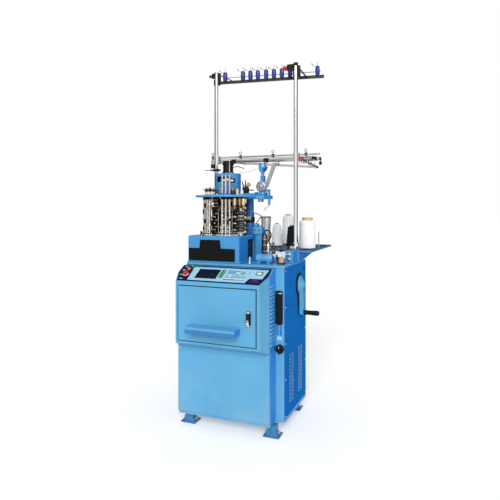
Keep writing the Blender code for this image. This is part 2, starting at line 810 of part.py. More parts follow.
def make_cabinet():
    outline = [
        (LEFT, BAY_FRONT + PAN_SETBACK),
        (BAY_RIGHT, BAY_FRONT + PAN_SETBACK),
        (BAY_RIGHT, 0.0),
        (RIGHT, 0.0),
        (RIGHT, BACK),
        (LEFT, BACK),
    ]
    plate("floor_pan", outline, PAN_THICK, (0.0, 0.0, (FLOOR + FLOOR_TOP) / 2), LIGHT_BLUE)

    bottom = FLOOR_TOP + SEAT
    left = box("left_side_panel", (LEFT, 0.0, bottom), (LEFT + SHEET, BACK, WALL_TOP), LIGHT_BLUE)
    cut(left, louvres("left_louvres", SIDE_COLUMNS, LEFT - SHEET, LEFT + 2 * SHEET, "Y"))
    right = box("right_side_panel", (RIGHT - SHEET, 0.0, bottom), (RIGHT, BACK, WALL_TOP), LIGHT_BLUE)
    cut(right, louvres("right_louvres", SIDE_COLUMNS, RIGHT - 2 * SHEET, RIGHT + SHEET, "Y"))
    bearing = (RIGHT, CRANK_Y, CRANK_Z)
    cut(right, rod("bearing_hole", BEARING_HOLE, -REACH, REACH, bearing, turn=ALONG_X, steps=24))
    inner_left = LEFT + SHEET + SEAT
    inner_right = RIGHT - SHEET - SEAT
    rear = box("rear_cover", (inner_left, BACK - SHEET, bottom), (inner_right, BACK, WALL_TOP), LIGHT_BLUE)
    cut(rear, louvres("rear_louvres", REAR_COLUMNS, BACK - 2 * SHEET, BACK + SHEET, "X"))
    box("front_pillar", (BAY_RIGHT + SEAT, 0.0, bottom), (inner_right, SHEET, WALL_TOP), LIGHT_BLUE)

    fold = [
        (LEFT, -SEAT),
        (LEFT, BAY_FRONT),
        (BAY_RIGHT, BAY_FRONT),
        (BAY_RIGHT, -SEAT),
        (BAY_RIGHT - SHEET, -SEAT),
        (BAY_RIGHT - SHEET, BAY_FRONT + SHEET),
        (LEFT + SHEET, BAY_FRONT + SHEET),
        (LEFT + SHEET, -SEAT),
    ]
    top = HOUSING_BOTTOM - SEAT
    plate("lower_front_panel", fold, top - bottom, (0.0, 0.0, (top + bottom) / 2), LIGHT_BLUE)

    deck = box("deck_plate", (LEFT, 0.0, DECK_UNDER), (RIGHT, BACK, DECK_TOP), LIGHT_BLUE)
    soften(deck, DECK_EDGE)
    cut(deck, rod("deck_hole", PASSAGE, -DECK_THICK - REACH, REACH, (AXIS_X, AXIS_Y, DECK_TOP), steps=32))


def housing_block(name, inset, material=None):
    """The console's outer form, or the same form smaller by a wall and longer at the back."""
    back = -SEAT if inset == 0.0 else REACH
    front = FACE + inset
    drop = inset * math.sqrt(1 + SLOPE_GRADE**2)
    under_grade = (HOUSING_BOTTOM - FACE_BOTTOM) / (BAY_FRONT - FACE)
    rise = inset * math.sqrt(1 + under_grade**2)
    ceiling = HOUSING_TOP - inset
    slope_foot = SLOPE_LOW + SLOPE_GRADE * inset - drop
    slope_end = front + (ceiling - slope_foot) / SLOPE_GRADE
    bend = FACE + (HOUSING_BOTTOM + inset - FACE_BOTTOM - rise) / under_grade
    side = [
        (front, FACE_BOTTOM + under_grade * inset + rise),
        (front, slope_foot),
        (slope_end, ceiling),
        (back, ceiling),
        (back, HOUSING_BOTTOM + inset),
        (bend, HOUSING_BOTTOM + inset),
    ]
    plan = [
        (FACE_LEFT + inset, front),
        (FACE_RIGHT - inset, front),
        (BAY_RIGHT - inset, BAY_FRONT),
        (BAY_RIGHT - inset, back),
        (LEFT + inset, back),
        (LEFT + inset, BAY_FRONT),
    ]
    width = BAY_RIGHT - LEFT + 2 * REACH
    height = HOUSING_TOP - HOUSING_BOTTOM + 2 * REACH
    block = plate(name, side, width, ((LEFT + BAY_RIGHT) / 2, 0.0, 0.0), material, SIDE_ON)
    tall = plate(name + "_plan", plan, height, (0.0, 0.0, (HOUSING_TOP + HOUSING_BOTTOM) / 2))
    return combine(block, [tall], "INTERSECT")


def make_console():
    housing = housing_block("console_housing", 0.0, LIGHT_BLUE)
    cut(housing, housing_block("console_hollow", SHEET))
    doorway = box(
        "doorway",
        (DOOR_LEFT - DOOR_CLEARANCE, FACE - REACH, DOOR_BOTTOM - DOOR_CLEARANCE),
        (DOOR_RIGHT + DOOR_CLEARANCE, FACE + REACH, DOOR_TOP + DOOR_CLEARANCE),
    )
    cut(housing, doorway)
    first = HOUSING_BOTTOM + CHEEK_RISE
    wall = BAY_RIGHT - SHEET
    cheek = louvres("cheek_louvres", (CHEEK_COLUMN,), wall - SHEET, BAY_RIGHT + SHEET, "Y", first, CHEEK_COUNT)
    cut(housing, cheek)
    for name, edge in (("hinge_pin_low", DOOR_BOTTOM), ("hinge_pin_high", DOOR_TOP)):
        inward = math.copysign(DOOR_SHEET - SEAT, (DOOR_BOTTOM + DOOR_TOP) / 2 - edge)
        outward = -math.copysign(DOOR_CLEARANCE + HINGE_ROOT, inward)
        low, high = sorted((edge + inward, edge + outward))
        fuse(housing, rod(name, HINGE_PIN, low, high, (HINGE_X, HINGE_Y, 0.0)))

    bend = (BAY_FRONT - FACE) / math.cos(SLOPE)
    top = SLOPE_RUN / math.cos(SLOPE) - FASCIA_MARGIN / 2
    outline = [
        (FACE_LEFT + FASCIA_MARGIN, FASCIA_MARGIN / 2),
        (FACE_RIGHT - FASCIA_MARGIN, FASCIA_MARGIN / 2),
        (BAY_RIGHT - FASCIA_MARGIN, bend),
        (BAY_RIGHT - FASCIA_MARGIN, top),
        (LEFT + FASCIA_MARGIN, top),
        (LEFT + FASCIA_MARGIN, bend),
    ]
    middle = SEAT + FASCIA_THICK / 2
    fascia = plate("console_fascia", outline, FASCIA_THICK, on_slope(0.0, 0.0, middle), FASCIA_FILM, ON_SLOPE)

    colours = {"emergency_stop": RED, "stop_button": ORANGE, "start_button": GREEN}
    for name, (inward, up, radius, height, stem, travel) in BUTTONS.items():
        foot = FASCIA_TOP + travel + SEAT
        crown = foot + height
        profile = [
            (0.0, crown),
            (radius * 0.7, crown),
            (radius, crown - radius * 0.3),
            (radius, foot),
            (stem, foot),
            (stem, -STEM_DEPTH),
            (0.0, -STEM_DEPTH),
        ]
        place = on_slope(LEFT + inward, up, 0.0)
        turned(name, profile, place, colours[name], ON_SLOPE, steps=20)
        hole = rod(name + "_hole", stem + RUN, -REACH, REACH, place, turn=ON_SLOPE, steps=20)
        cut(housing, hole)
        cut(fascia, hole)


def make_door():
    hinge = (HINGE_X, HINGE_Y, (DOOR_BOTTOM + DOOR_TOP) / 2)
    back = DOOR_FRONT + DOOR_DEPTH
    door = box(
        "door_panel", (DOOR_LEFT, DOOR_FRONT, DOOR_BOTTOM), (DOOR_RIGHT, back, DOOR_TOP), LIGHT_BLUE, hinge
    )
    hollow = box(
        "door_hollow",
        (DOOR_LEFT + DOOR_SHEET, DOOR_FRONT + DOOR_SHEET, DOOR_BOTTOM + DOOR_SHEET),
        (DOOR_RIGHT - DOOR_SHEET, back + DOOR_DEPTH, DOOR_TOP - DOOR_SHEET),
    )
    cut(door, hollow)
    for name, edge in (("hinge_hole_low", DOOR_BOTTOM), ("hinge_hole_high", DOOR_TOP)):
        low = edge - DOOR_SHEET - RUN
        high = edge + DOOR_SHEET + RUN
        cut(door, rod(name, HINGE_PIN + SEAT, low, high, (HINGE_X, HINGE_Y, 0.0)))

    seat = DOOR_FRONT - SEAT
    bent = [
        (seat, SHELF_TOP),
        (SHELF_FRONT, SHELF_TOP),
        (SHELF_FRONT, SHELF_LIP),
        (SHELF_FRONT + SHEET, SHELF_LIP),
        (SHELF_FRONT + SHEET, SHELF_TOP - SHEET),
        (seat - SHEET, SHELF_TOP - SHEET),
        (seat - SHEET, SHELF_FOOT),
        (seat, SHELF_FOOT),
    ]
    cheek = [(seat, SHELF_TOP), (SHELF_FRONT, SHELF_TOP), (SHELF_FRONT, SHELF_LIP), (seat, SHELF_FOOT)]
    middle = (SHELF_LEFT + SHELF_RIGHT) / 2
    shelf = plate("door_shelf", bent, SHELF_RIGHT - SHELF_LEFT, (middle, 0.0, 0.0), LIGHT_BLUE, SIDE_ON)
    for name, edge in (("left", SHELF_LEFT + SHEET / 2), ("right", SHELF_RIGHT - SHEET / 2)):
        fuse(shelf, plate("shelf_cheek_" + name, cheek, SHEET, (edge, 0.0, 0.0), turn=SIDE_ON))

    place = (LATCH_X, seat - LATCH_PLATE / 2, (LATCH_TOP + LATCH_BOTTOM) / 2)
    outline = rounded(LATCH_WIDTH, LATCH_HEIGHT, LATCH_CORNER, 3)
    plate("latch_body", outline, LATCH_PLATE, place, STEEL, FRONT_ON)

    pivot_y = seat - LATCH_PLATE - SEAT - LEVER_HALF
    grip = [
        *arc((0.0, 0.0), LEVER_HALF, 0, 180, 6),
        (-LEVER_HALF - LEVER_LEAN, -LEVER_LENGTH),
        (LEVER_HALF - LEVER_LEAN, -LEVER_LENGTH),
    ]
    plate("latch_lever", grip, LEVER_WIDTH, (LATCH_X, pivot_y, LEVER_PIVOT_Z), BLACK, SIDE_ON)


def make_pillar():
    middle = -SEAT - RECESS_DEPTH / 2
    outline = rounded(RECESS_WIDTH, RECESS_HEIGHT, RECESS_CORNER)
    tray = plate("slot_liner", outline, RECESS_DEPTH, (RECESS_X, middle, RECESS_Z), BLACK, FRONT_ON)
    outline = rounded(
        RECESS_WIDTH - 2 * RECESS_RIM, RECESS_HEIGHT - 2 * RECESS_RIM, RECESS_CORNER - RECESS_RIM
    )
    place = (RECESS_X, middle - RECESS_DEPTH / 4, RECESS_Z)
    cut(tray, plate("slot_pocket", outline, RECESS_DEPTH, place, turn=FRONT_ON))

    profile = [
        (0.0, SWITCH_HEIGHT),
        (SWITCH_RADIUS - SWITCH_EDGE, SWITCH_HEIGHT),
        (SWITCH_RADIUS, SWITCH_HEIGHT - SWITCH_EDGE),
        (SWITCH_RADIUS, 0.0),
        (0.0, 0.0),
    ]
    place = (SWITCH_X, -SEAT, SWITCH_Z)
    knob = turned("main_switch_knob", profile, place, BLACK, TO_FRONT)
    bar = box(
        "switch_bar",
        (SWITCH_X - BAR_HALF, -SEAT - BAR_HEIGHT, SWITCH_Z - SWITCH_RADIUS * BAR_SHARE),
        (SWITCH_X + BAR_HALF, -SEAT - BAR_FOOT, SWITCH_Z + SWITCH_RADIUS * BAR_SHARE),
    )
    fuse(knob, soften(bar, BAR_EDGE))


def make_crank():
    axis = (0.0, CRANK_Y, CRANK_Z)
    hub_back = RIGHT + HUB_BACK
    profile = [
        (0.0, ARM_OUT + HUB_CAP_HEIGHT),
        (HUB_CAP, ARM_OUT + HUB_CAP_HEIGHT),
        (HUB_TOP, ARM_OUT - HUB_CAP_HEIGHT),
        (HUB_WAIST, hub_back + HUB_RIM + HUB_STEP),
        (HUB_RADIUS, hub_back + HUB_RIM),
        (HUB_RADIUS, hub_back),
        (SHAFT_RADIUS, hub_back),
        (SHAFT_RADIUS, RIGHT - SHAFT_LENGTH),
        (0.0, RIGHT - SHAFT_LENGTH),
    ]
    crank = turned("crank_arm", profile, axis, LIGHT_BLUE, ALONG_X)
    outline = arc((0.0, 0.0), ARM_WIDE, 0, 180, 8) + arc((0.0, -CRANK_LENGTH), ARM_NARROW, 180, 360, 8)
    arm_middle = RIGHT + ARM_BACK + ARM_THICK / 2
    arm = plate("crank_web", outline, ARM_THICK, (arm_middle, CRANK_Y, CRANK_Z), turn=SIDE_ON)
    handle = (0.0, CRANK_Y, CRANK_Z - CRANK_LENGTH)
    pin = rod("crank_pin", PIN_RADIUS, arm_middle, GRIP_END - PIN_SHORT, handle, turn=ALONG_X)
    fuse(crank, arm, pin)

    start = ARM_OUT + RUN
    bore = PIN_RADIUS + RUN
    profile = [
        (0.0, GRIP_END),
        (GRIP_CROWN, GRIP_END),
        (GRIP_RADIUS, GRIP_END - GRIP_EDGE),
        (GRIP_RADIUS, GRIP_END - GRIP_SWELL),
        (GRIP_WAIST, start + GRIP_TAPER),
        (GRIP_RADIUS, start + GRIP_COLLAR),
        (GRIP_NECK, start),
        (bore, start),
        (bore, GRIP_END - GRIP_CAP),
        (0.0, GRIP_END - GRIP_CAP),
    ]
    turned("crank_grip", profile, handle, BLACK, ALONG_X, steps=20)

    shaft_bore = SHAFT_RADIUS + RUN
    barrel = BEARING_HOLE - SEAT
    flange_foot = RIGHT + SEAT
    profile = [
        (BEARING_FLANGE, flange_foot + BEARING_THICK),
        (BEARING_FLANGE, flange_foot),
        (barrel, flange_foot),
        (barrel, RIGHT - BEARING_BARREL),
        (shaft_bore, RIGHT - BEARING_BARREL),
        (shaft_bore, flange_foot + BEARING_THICK),
    ]
    turned("crank_bearing", profile, axis, BLACK_METAL, ALONG_X, steps=28, ring=True)


def pulley(name, radius, bore, place, material, shaft=()):
    """A flat belt pulley with two rims; a bore of nothing leaves it solid, with its own shaft."""
    rim = radius + RIM_HEIGHT
    face = PULLEY_HALF - RIM_WIDTH
    outer = [
        (rim, PULLEY_HALF),
        (rim, face),
        (radius, face),
        (radius, -face),
        (rim, -face),
        (rim, -PULLEY_HALF),
    ]
    if bore:
        closed = [*outer, (bore, -PULLEY_HALF), (bore, PULLEY_HALF)]
        return turned(name, closed, place, material, ALONG_X, ring=True)
    return turned(name, [(0.0, PULLEY_HALF), *outer, *shaft], place, material, ALONG_X)


def belt_loop(low_radius, high_radius, distance, steps=16):
    """Two arcs and their outer tangents, the lower circle at the middle of the sketch."""
    lean = math.degrees(math.asin((low_radius - high_radius) / distance))
    upper = arc((0.0, distance), high_radius, lean, 180 - lean, steps)
    return upper + arc((0.0, 0.0), low_radius, 180 - lean, 360 + lean, steps)


def make_drive():
    pulley("driven_pulley", DRIVEN_RADIUS, SHAFT_RADIUS + SEAT, (PULLEY_X, CRANK_Y, CRANK_Z), DARK_STEEL)
    stub = MOTOR_RIGHT + SEAT - PULLEY_X
    shaft = [(MOTOR_SHAFT, -PULLEY_HALF), (MOTOR_SHAFT, stub), (0.0, stub)]
    pulley("motor_pulley", DRIVER_RADIUS, 0.0, (PULLEY_X, CRANK_Y, MOTOR_Z), DARK_STEEL, shaft)
    distance = CRANK_Z - MOTOR_Z
    inner = belt_loop(DRIVER_RADIUS + RUN, DRIVEN_RADIUS + RUN, distance)
    outer = belt_loop(DRIVER_RADIUS + RUN + BELT_THICK, DRIVEN_RADIUS + RUN + BELT_THICK, distance)
    plate("drive_belt", outer, BELT_WIDTH, (PULLEY_X, CRANK_Y, MOTOR_Z), RUBBER, SIDE_ON, holes=[inner])

    fan = MOTOR_RADIUS - FAN_STEP
    profile = [
        (0.0, MOTOR_RIGHT),
        (MOTOR_NOSE, MOTOR_RIGHT),
        (MOTOR_NOSE, MOTOR_RIGHT - NOSE_LENGTH),
        (MOTOR_RADIUS - MOTOR_BEVEL, MOTOR_RIGHT - NOSE_LENGTH),
        (MOTOR_RADIUS, MOTOR_RIGHT - NOSE_LENGTH - MOTOR_SHOULDER),
        (MOTOR_RADIUS, MOTOR_LEFT + FAN_LENGTH + FAN_STEP),
        (fan, MOTOR_LEFT + FAN_LENGTH),
        (fan, MOTOR_LEFT + FAN_EDGE),
        (fan - FAN_EDGE, MOTOR_LEFT),
        (0.0, MOTOR_LEFT),
    ]
    motor = turned("drive_motor", profile, (0.0, CRANK_Y, MOTOR_Z), GREY, ALONG_X)
    foot = box(
        "motor_foot",
        (MOTOR_LEFT + MOTOR_FOOT_IN_LEFT, CRANK_Y - MOTOR_FOOT_HALF, FLOOR_TOP + SEAT),
        (MOTOR_RIGHT - MOTOR_FOOT_IN_RIGHT, CRANK_Y + MOTOR_FOOT_HALF, MOTOR_Z - MOTOR_FOOT_TOP),
    )
    terminals = box(
        "motor_terminals",
        (MOTOR_LEFT + TERMINAL_IN, CRANK_Y - TERMINAL_HALF, MOTOR_Z + TERMINAL_LOW),
        (MOTOR_RIGHT - TERMINAL_IN, CRANK_Y + TERMINAL_HALF, MOTOR_Z + TERMINAL_HIGH),
    )
    fuse(motor, foot, terminals)

    left = LEFT + CONTROL_IN
    right = left + CONTROL_WIDTH
    top = FLOOR_TOP + CONTROL_HEIGHT
    back = CONTROL_FRONT + CONTROL_DEPTH
    control = box("control_box", (left, CONTROL_FRONT, FLOOR_TOP + SEAT), (right, back, top), GREY)
    lid = box(
        "control_lid",
        (left - LID_PROUD, CONTROL_FRONT - LID_THICK, FLOOR_TOP + LID_RISE),
        (right + LID_PROUD, CONTROL_FRONT + LID_SINK, top + LID_PROUD),
    )
    fuse(control, lid)

    wall = PASSAGE + TUBE_WALL
    profile = [
        (PASSAGE + TUBE_FLANGE, WALL_TOP),
        (PASSAGE + TUBE_FLANGE, WALL_TOP - TUBE_LIP),
        (wall, WALL_TOP - TUBE_LIP),
        (wall, WALL_TOP - TUBE_LENGTH),
        (PASSAGE, WALL_TOP - TUBE_LENGTH),
        (PASSAGE, WALL_TOP),
    ]
    turned("fabric_tube", profile, (AXIS_X, AXIS_Y, 0.0), STEEL, steps=32, ring=True)


def make_head_base():
    foot = DECK_TOP + SEAT
    head = box("head_base", (HEAD_LEFT, SEAT, foot), (HEAD_RIGHT, HEAD_BACK, HEAD_TOP), LIGHT_BLUE)
    soften(head, HEAD_EDGE, 2)
    lip = box(
        "head_lip",
        (HEAD_LEFT - LIP_PROUD, SEAT + HEAD_EDGE, foot),
        (HEAD_RIGHT + LIP_PROUD, HEAD_BACK + LIP_PROUD, foot + LIP_HEIGHT),
    )
    fuse(head, soften(lip, LIP_PROUD / 2))
    window_front = AXIS_Y - WINDOW_IN_FRONT
    window = box(
        "head_window",
        (HEAD_RIGHT - WINDOW_DEPTH, window_front, DECK_TOP + WINDOW_RISE),
        (HEAD_RIGHT + REACH, window_front + WINDOW_LENGTH, DECK_TOP + WINDOW_RISE + WINDOW_HEIGHT),
    )
    bore = rod("head_bore", HEAD_BORE, -REACH, HEAD_HEIGHT + REACH, (AXIS_X, AXIS_Y, DECK_TOP), steps=32)
    cut(head, window, bore)
    low = DECK_TOP + PANEL_RISE
    step = low + PANEL_LOW
    top = low + PANEL_HIGH
    left = HEAD_LEFT + PANEL_IN_LEFT
    right = HEAD_RIGHT - PANEL_IN_RIGHT
    tee_left = HEAD_LEFT + TEE_IN_LEFT
    tee_right = HEAD_RIGHT - TEE_IN_RIGHT
    tee = [
        (left, low),
        (right, low),
        (right, step),
        (tee_right + TEE_LEAN, step),
        (tee_right, top),
        (tee_left, top),
        (tee_left - TEE_LEAN, step),
        (left, step),
    ]
    plate("name_panel", tee, PANEL_THICK, (0.0, -PANEL_THICK / 2, 0.0), BLACK, FRONT_ON)


def make_cylinder():
    axis = (AXIS_X, AXIS_Y, 0.0)
    profile = [
        (CAM_RADIUS, CAM_TOP),
        (CAM_RADIUS, BED_TOP),
        (BED_RADIUS, BED_TOP),
        (BED_RADIUS, HEAD_TOP + SEAT),
        (CAM_BORE, HEAD_TOP + SEAT),
        (CAM_BORE, CAM_TOP),
    ]
    bed = turned("cam_bed", profile, axis, DARK_STEEL, steps=32, ring=True)
    reach = CAM_RADIUS + REACH / 2
    low = HEAD_TOP + CAM_WINDOW_LOW
    high = HEAD_TOP + CAM_WINDOW_HIGH
    half = CAM_WINDOW_HALF
    across = box("cam_windows", (AXIS_X - reach, AXIS_Y - half, low), (AXIS_X + reach, AXIS_Y + half, high))
    along = box("more_cam_windows", (AXIS_X - half, AXIS_Y - reach, low), (AXIS_X + half, AXIS_Y + reach, high))
    cut(bed, across, along)

    pitch = 360 / NEEDLE_GROOVES
    outline = []
    for index in range(NEEDLE_GROOVES):
        start = index * pitch
        wall = start + LAND_SHARE * pitch
        outline += arc((0.0, 0.0), CYLINDER_RADIUS, start, wall, 1)
        outline += arc((0.0, 0.0), CYLINDER_RADIUS - GROOVE_DEPTH, wall, start + pitch, 1)
    bore = arc((0.0, 0.0), CYLINDER_BORE, 0, 360, 32)[:-1]
    height = CYLINDER_TOP - CYLINDER_BOTTOM
    middle = (AXIS_X, AXIS_Y, (CYLINDER_TOP + CYLINDER_BOTTOM) / 2)
    cylinder = plate("needle_cylinder", outline, height, middle, STEEL, holes=[bore])
    hub = (CYLINDER_BORE + CYLINDER_RADIUS - GROOVE_DEPTH) / 2
    outer = HEAD_BORE - RUN - SEAT
    gear_top = HEAD_TOP - SEAT
    gear_foot = gear_top - GEAR_HEIGHT
    profile = [(outer, gear_top), (outer, gear_foot), (hub, gear_foot), (hub, gear_top)]
    fuse(cylinder, turned("cylinder_gear", profile, axis, steps=32, ring=True))

    for number, angle in enumerate(BLOCK_ANGLES, start=1):
        name = f"selector_block_{number}"
        low = (AXIS_X + BLOCK_IN, AXIS_Y - BLOCK_HALF, BED_TOP + SEAT)
        high = (AXIS_X + BLOCK_OUT, AXIS_Y + BLOCK_HALF, BLOCK_TOP)
        block = box(name, low, high, BLACK_METAL, axis)
        slots = []
        for index in range(SLOT_COUNT):
            bottom = BED_TOP + SLOT_RISE + index * SLOT_PITCH
            slot_low = (AXIS_X + SLOT_IN, AXIS_Y - SLOT_HALF, bottom)
            slot_high = (AXIS_X + BLOCK_OUT + REACH, AXIS_Y + SLOT_HALF, bottom + SLOT_HEIGHT)
            slots.append((slot_low, slot_high))
        comb = boxes(name + "_comb", slots, origin=axis)
        block.rotation_euler = (0.0, 0.0, math.radians(angle))
        comb.rotation_euler = block.rotation_euler
        cut(block, comb)

    low = BLOCK_TOP + SEAT
    high = low + SINKER_THICK
    profile = [(SINKER_RADIUS, high), (SINKER_RADIUS, low), (CAM_BORE, low), (CAM_BORE, high)]
    turned("sinker_ring", profile, axis, STEEL, steps=32, ring=True)


def make_feeder_plate():
    axis = (AXIS_X, AXIS_Y, 0.0)
    foot = box(
        "support_column",
        (COLUMN_X - COLUMN_FOOT_LEFT, COLUMN_Y - COLUMN_FOOT_FRONT, HEAD_TOP + SEAT),
        (COLUMN_X + COLUMN_FOOT_RIGHT, COLUMN_Y + COLUMN_FOOT_BACK, HEAD_TOP + COLUMN_FOOT_HEIGHT),
        LIGHT_BLUE,
    )
    soften(foot, COLUMN_EDGE)
    column_foot = HEAD_TOP + COLUMN_FOOT_HEIGHT / 2
    column_place = (COLUMN_X, COLUMN_Y, 0.0)
    fuse(foot, rod("column_post", COLUMN_RADIUS, column_foot, FLANGE_BOTTOM - SEAT, column_place))

    shaft_bore = DIAL_SHAFT + 2 * RUN
    profile = [
        (PLATE_RADIUS, PLATE_TOP),
        (PLATE_RADIUS, PLATE_BOTTOM),
        (shaft_bore, PLATE_BOTTOM),
        (shaft_bore, PLATE_TOP),
    ]
    disc = turned("feeder_plate", profile, axis, LIGHT_BLUE, steps=40, ring=True)
    flange = box(
        "feeder_flange",
        (COLUMN_X - FLANGE_SIDE, AXIS_Y - FLANGE_AHEAD, FLANGE_BOTTOM),
        (FLANGE_RIGHT, COLUMN_Y + FLANGE_SIDE, PLATE_TOP - FLANGE_STEP),
    )
    saddle = box(
        "feeder_saddle",
        (AXIS_X + SADDLE_LEFT, AXIS_Y - SADDLE_AHEAD, PLATE_BOTTOM + PLATE_THICK / 2),
        (AXIS_X + SADDLE_RIGHT, AXIS_Y + SADDLE_BEHIND, PLATE_TOP + SADDLE_RISE),
    )
    fuse(disc, flange, soften(saddle, COLUMN_EDGE))
    pole_place = (POLE_LEFT_X, POLE_Y, PLATE_TOP)
    cut(disc, rod("plate_pole_hole", POLE_BORE, -REACH, REACH, pole_place, steps=POLE_SIDES))
    for angle in (*POST_ANGLES, *TALL_POST_ANGLES):
        top = PLATE_TOP + TALL_POST_RISE if angle in TALL_POST_ANGLES else PLATE_BOTTOM + POST_SINK
        place = about_axis(POST_CIRCLE, angle, 0.0)
        fuse(disc, rod(f"post_{angle}", POST_RADIUS, HEAD_TOP + SEAT, top, place, steps=10))


def make_dial():
    axis = (AXIS_X, AXIS_Y, 0.0)
    ceiling = DRUM_TOP - DRUM_WALL
    inner = DRUM_RADIUS - DRUM_WALL
    profile = [
        (0.0, DRUM_TOP),
        (DRUM_RADIUS, DRUM_TOP),
        (DRUM_RADIUS, PLATE_TOP + SEAT),
        (inner, PLATE_TOP + SEAT),
        (inner, ceiling),
        (0.0, ceiling),
    ]
    drum = turned("dial_housing", profile, axis, LIGHT_BLUE, steps=32)
    window = box(
        "drum_window",
        (AXIS_X - DRUM_WINDOW_LEFT, AXIS_Y - DRUM_RADIUS - REACH, PLATE_TOP + DRUM_WINDOW_LOW),
        (AXIS_X + DRUM_WINDOW_RIGHT, AXIS_Y - DRUM_WINDOW_IN, PLATE_TOP + DRUM_WINDOW_HIGH),
    )
    cut(drum, window)

    dial_top = DIAL_BOTTOM + DIAL_THICK
    profile = [
        (0.0, ceiling - SEAT),
        (DIAL_SHAFT, ceiling - SEAT),
        (DIAL_SHAFT, GEAR_TOP),
        (GEAR_RADIUS, GEAR_TOP),
        (GEAR_RADIUS, GEAR_BOTTOM),
        (DIAL_SHAFT, GEAR_BOTTOM),
        (DIAL_SHAFT, dial_top),
        (DIAL_RADIUS, dial_top),
        (DIAL_RADIUS, DIAL_BOTTOM),
        (0.0, DIAL_BOTTOM),
    ]
    turned("dial", profile, axis, STEEL)

    motor_top = DRUM_TOP + DIAL_MOTOR_HEIGHT
    flange_top = DRUM_TOP + DIAL_FLANGE_THICK
    profile = [
        (0.0, motor_top),
        (DIAL_MOTOR_RADIUS - DIAL_MOTOR_EDGE, motor_top),
        (DIAL_MOTOR_RADIUS, motor_top - DIAL_MOTOR_EDGE),
        (DIAL_MOTOR_RADIUS, flange_top),
        (DIAL_FLANGE_RADIUS, flange_top),
        (DIAL_FLANGE_RADIUS, DRUM_TOP + SEAT),
        (0.0, DRUM_TOP + SEAT),
    ]
    turned("dial_motor", profile, axis, BLACK)

    for number, angle in enumerate(FINGER_ANGLES, start=1):
        name = f"yarn_finger_{number}"
        hinge = Vector(about_axis(FINGER_CIRCLE, angle, PLATE_BOTTOM - SEAT - KNUCKLE))
        ends = (Vector((0.0, -KNUCKLE_HALF, 0.0)), Vector((0.0, KNUCKLE_HALF, 0.0)))
        knuckle = tube(name, [hinge + end for end in ends], KNUCKLE, STEEL, hinge)
        path = [hinge + Vector(corner) for corner in FINGER_BEND]
        finger = tube(name + "_wire", path, FINGER_WIRE, origin=hinge)
        knuckle.rotation_euler = (0.0, 0.0, math.radians(angle))
        finger.rotation_euler = knuckle.rotation_euler
        fuse(knuckle, finger)


def make_feeder():
    seat = PLATE_TOP + SEAT
    front = FEEDER_Y - STEM_FRONT
    back = FEEDER_Y + FEEDER_DEPTH
    body = box(
        "feeder_body",
        (FEEDER_X - FEEDER_HALF, FEEDER_Y - FEEDER_DEPTH, seat),
        (FEEDER_X + FEEDER_HALF, back, PLATE_TOP + FEEDER_HEIGHT),
        LIGHT_BLUE,
    )
    stem = box(
        "feeder_stem",
        (FEEDER_X - STEM_HALF, front, PLATE_TOP + STEM_LOW),
        (FEEDER_X + STEM_HALF, back, PLATE_TOP + STEM_HIGH),
    )
    arm = box(
        "feeder_arm",
        (FEEDER_X, FEEDER_Y - ARM_HALF, PLATE_TOP + ARM_LOW),
        (FLANGE_RIGHT + ARM_REACH, FEEDER_Y + ARM_HALF, PLATE_TOP + ARM_HIGH),
    )
    hanger = box(
        "feeder_hanger",
        (FLANGE_RIGHT + HANGER_IN, FEEDER_Y - HANGER_HALF, PLATE_TOP - HANGER_DROP),
        (FLANGE_RIGHT + HANGER_OUT, FEEDER_Y + HANGER_HALF, PLATE_TOP + HANGER_HIGH),
    )
    pin_place = (FEEDER_X, FEEDER_Y, WHEEL_Z)
    pin = rod("feeder_pin", WHEEL_PIN, 0.0, WHEEL_PIN_LENGTH, pin_place, turn=TO_FRONT)
    fork = [(across, PLATE_TOP + up) for across, up in FORK]
    fork += [(-across, up) for across, up in reversed(fork)]
    head = plate("feeder_head", fork, FORK_THICK, (FEEDER_X, FEEDER_Y, 0.0), turn=FRONT_ON)
    low = PLATE_TOP + STRUT_LOW
    high = GUIDE_Z - STRUT_UNDER
    left = FEEDER_X + STRUT_LEFT
    hook_left = left + STRUT_LEAN
    hook_right = hook_left + STRUT_WIDTH
    slant = [(left, low), (left + STRUT_WIDTH, low), (hook_right, high), (hook_left, high)]
    strut_y = FEEDER_Y + STRUT_BEHIND
    strut = plate("feeder_strut", slant, STRUT_THICK, (0.0, strut_y, 0.0), turn=FRONT_ON)
    hook = box(
        "feeder_hook",
        (hook_left + HOOK_IN, strut_y, high - HOOK_IN - 2 * HOOK_HALF),
        (hook_right - HOOK_IN, GUIDE_Y + HOOK_HALF, high - HOOK_IN),
    )
    riser = box(
        "feeder_riser",
        (hook_left + 2 * HOOK_IN, GUIDE_Y - HOOK_HALF / 2, high - HOOK_IN - HOOK_HALF),
        (hook_right - 2 * HOOK_IN, GUIDE_Y + HOOK_HALF / 2, GUIDE_Z - GUIDE_RADIUS - SEAT),
    )
    fuse(body, stem, arm, hanger, pin, head, strut, hook, riser)

    hub = WHEEL_PIN + RUN
    groove = WHEEL_RADIUS - WHEEL_GROOVE
    far_rim = WHEEL_WIDTH - WHEEL_RIM
    profile = [
        (WHEEL_RADIUS, WHEEL_WIDTH),
        (WHEEL_RADIUS, far_rim),
        (groove, far_rim - WHEEL_BEVEL),
        (groove, WHEEL_RIM + WHEEL_BEVEL),
        (WHEEL_RADIUS, WHEEL_RIM),
        (WHEEL_RADIUS, 0.0),
        (hub, 0.0),
        (hub, WHEEL_WIDTH),
    ]
    turned("feeder_wheel", profile, (FEEDER_X, front - SEAT, WHEEL_Z), GREY, TO_FRONT, ring=True)


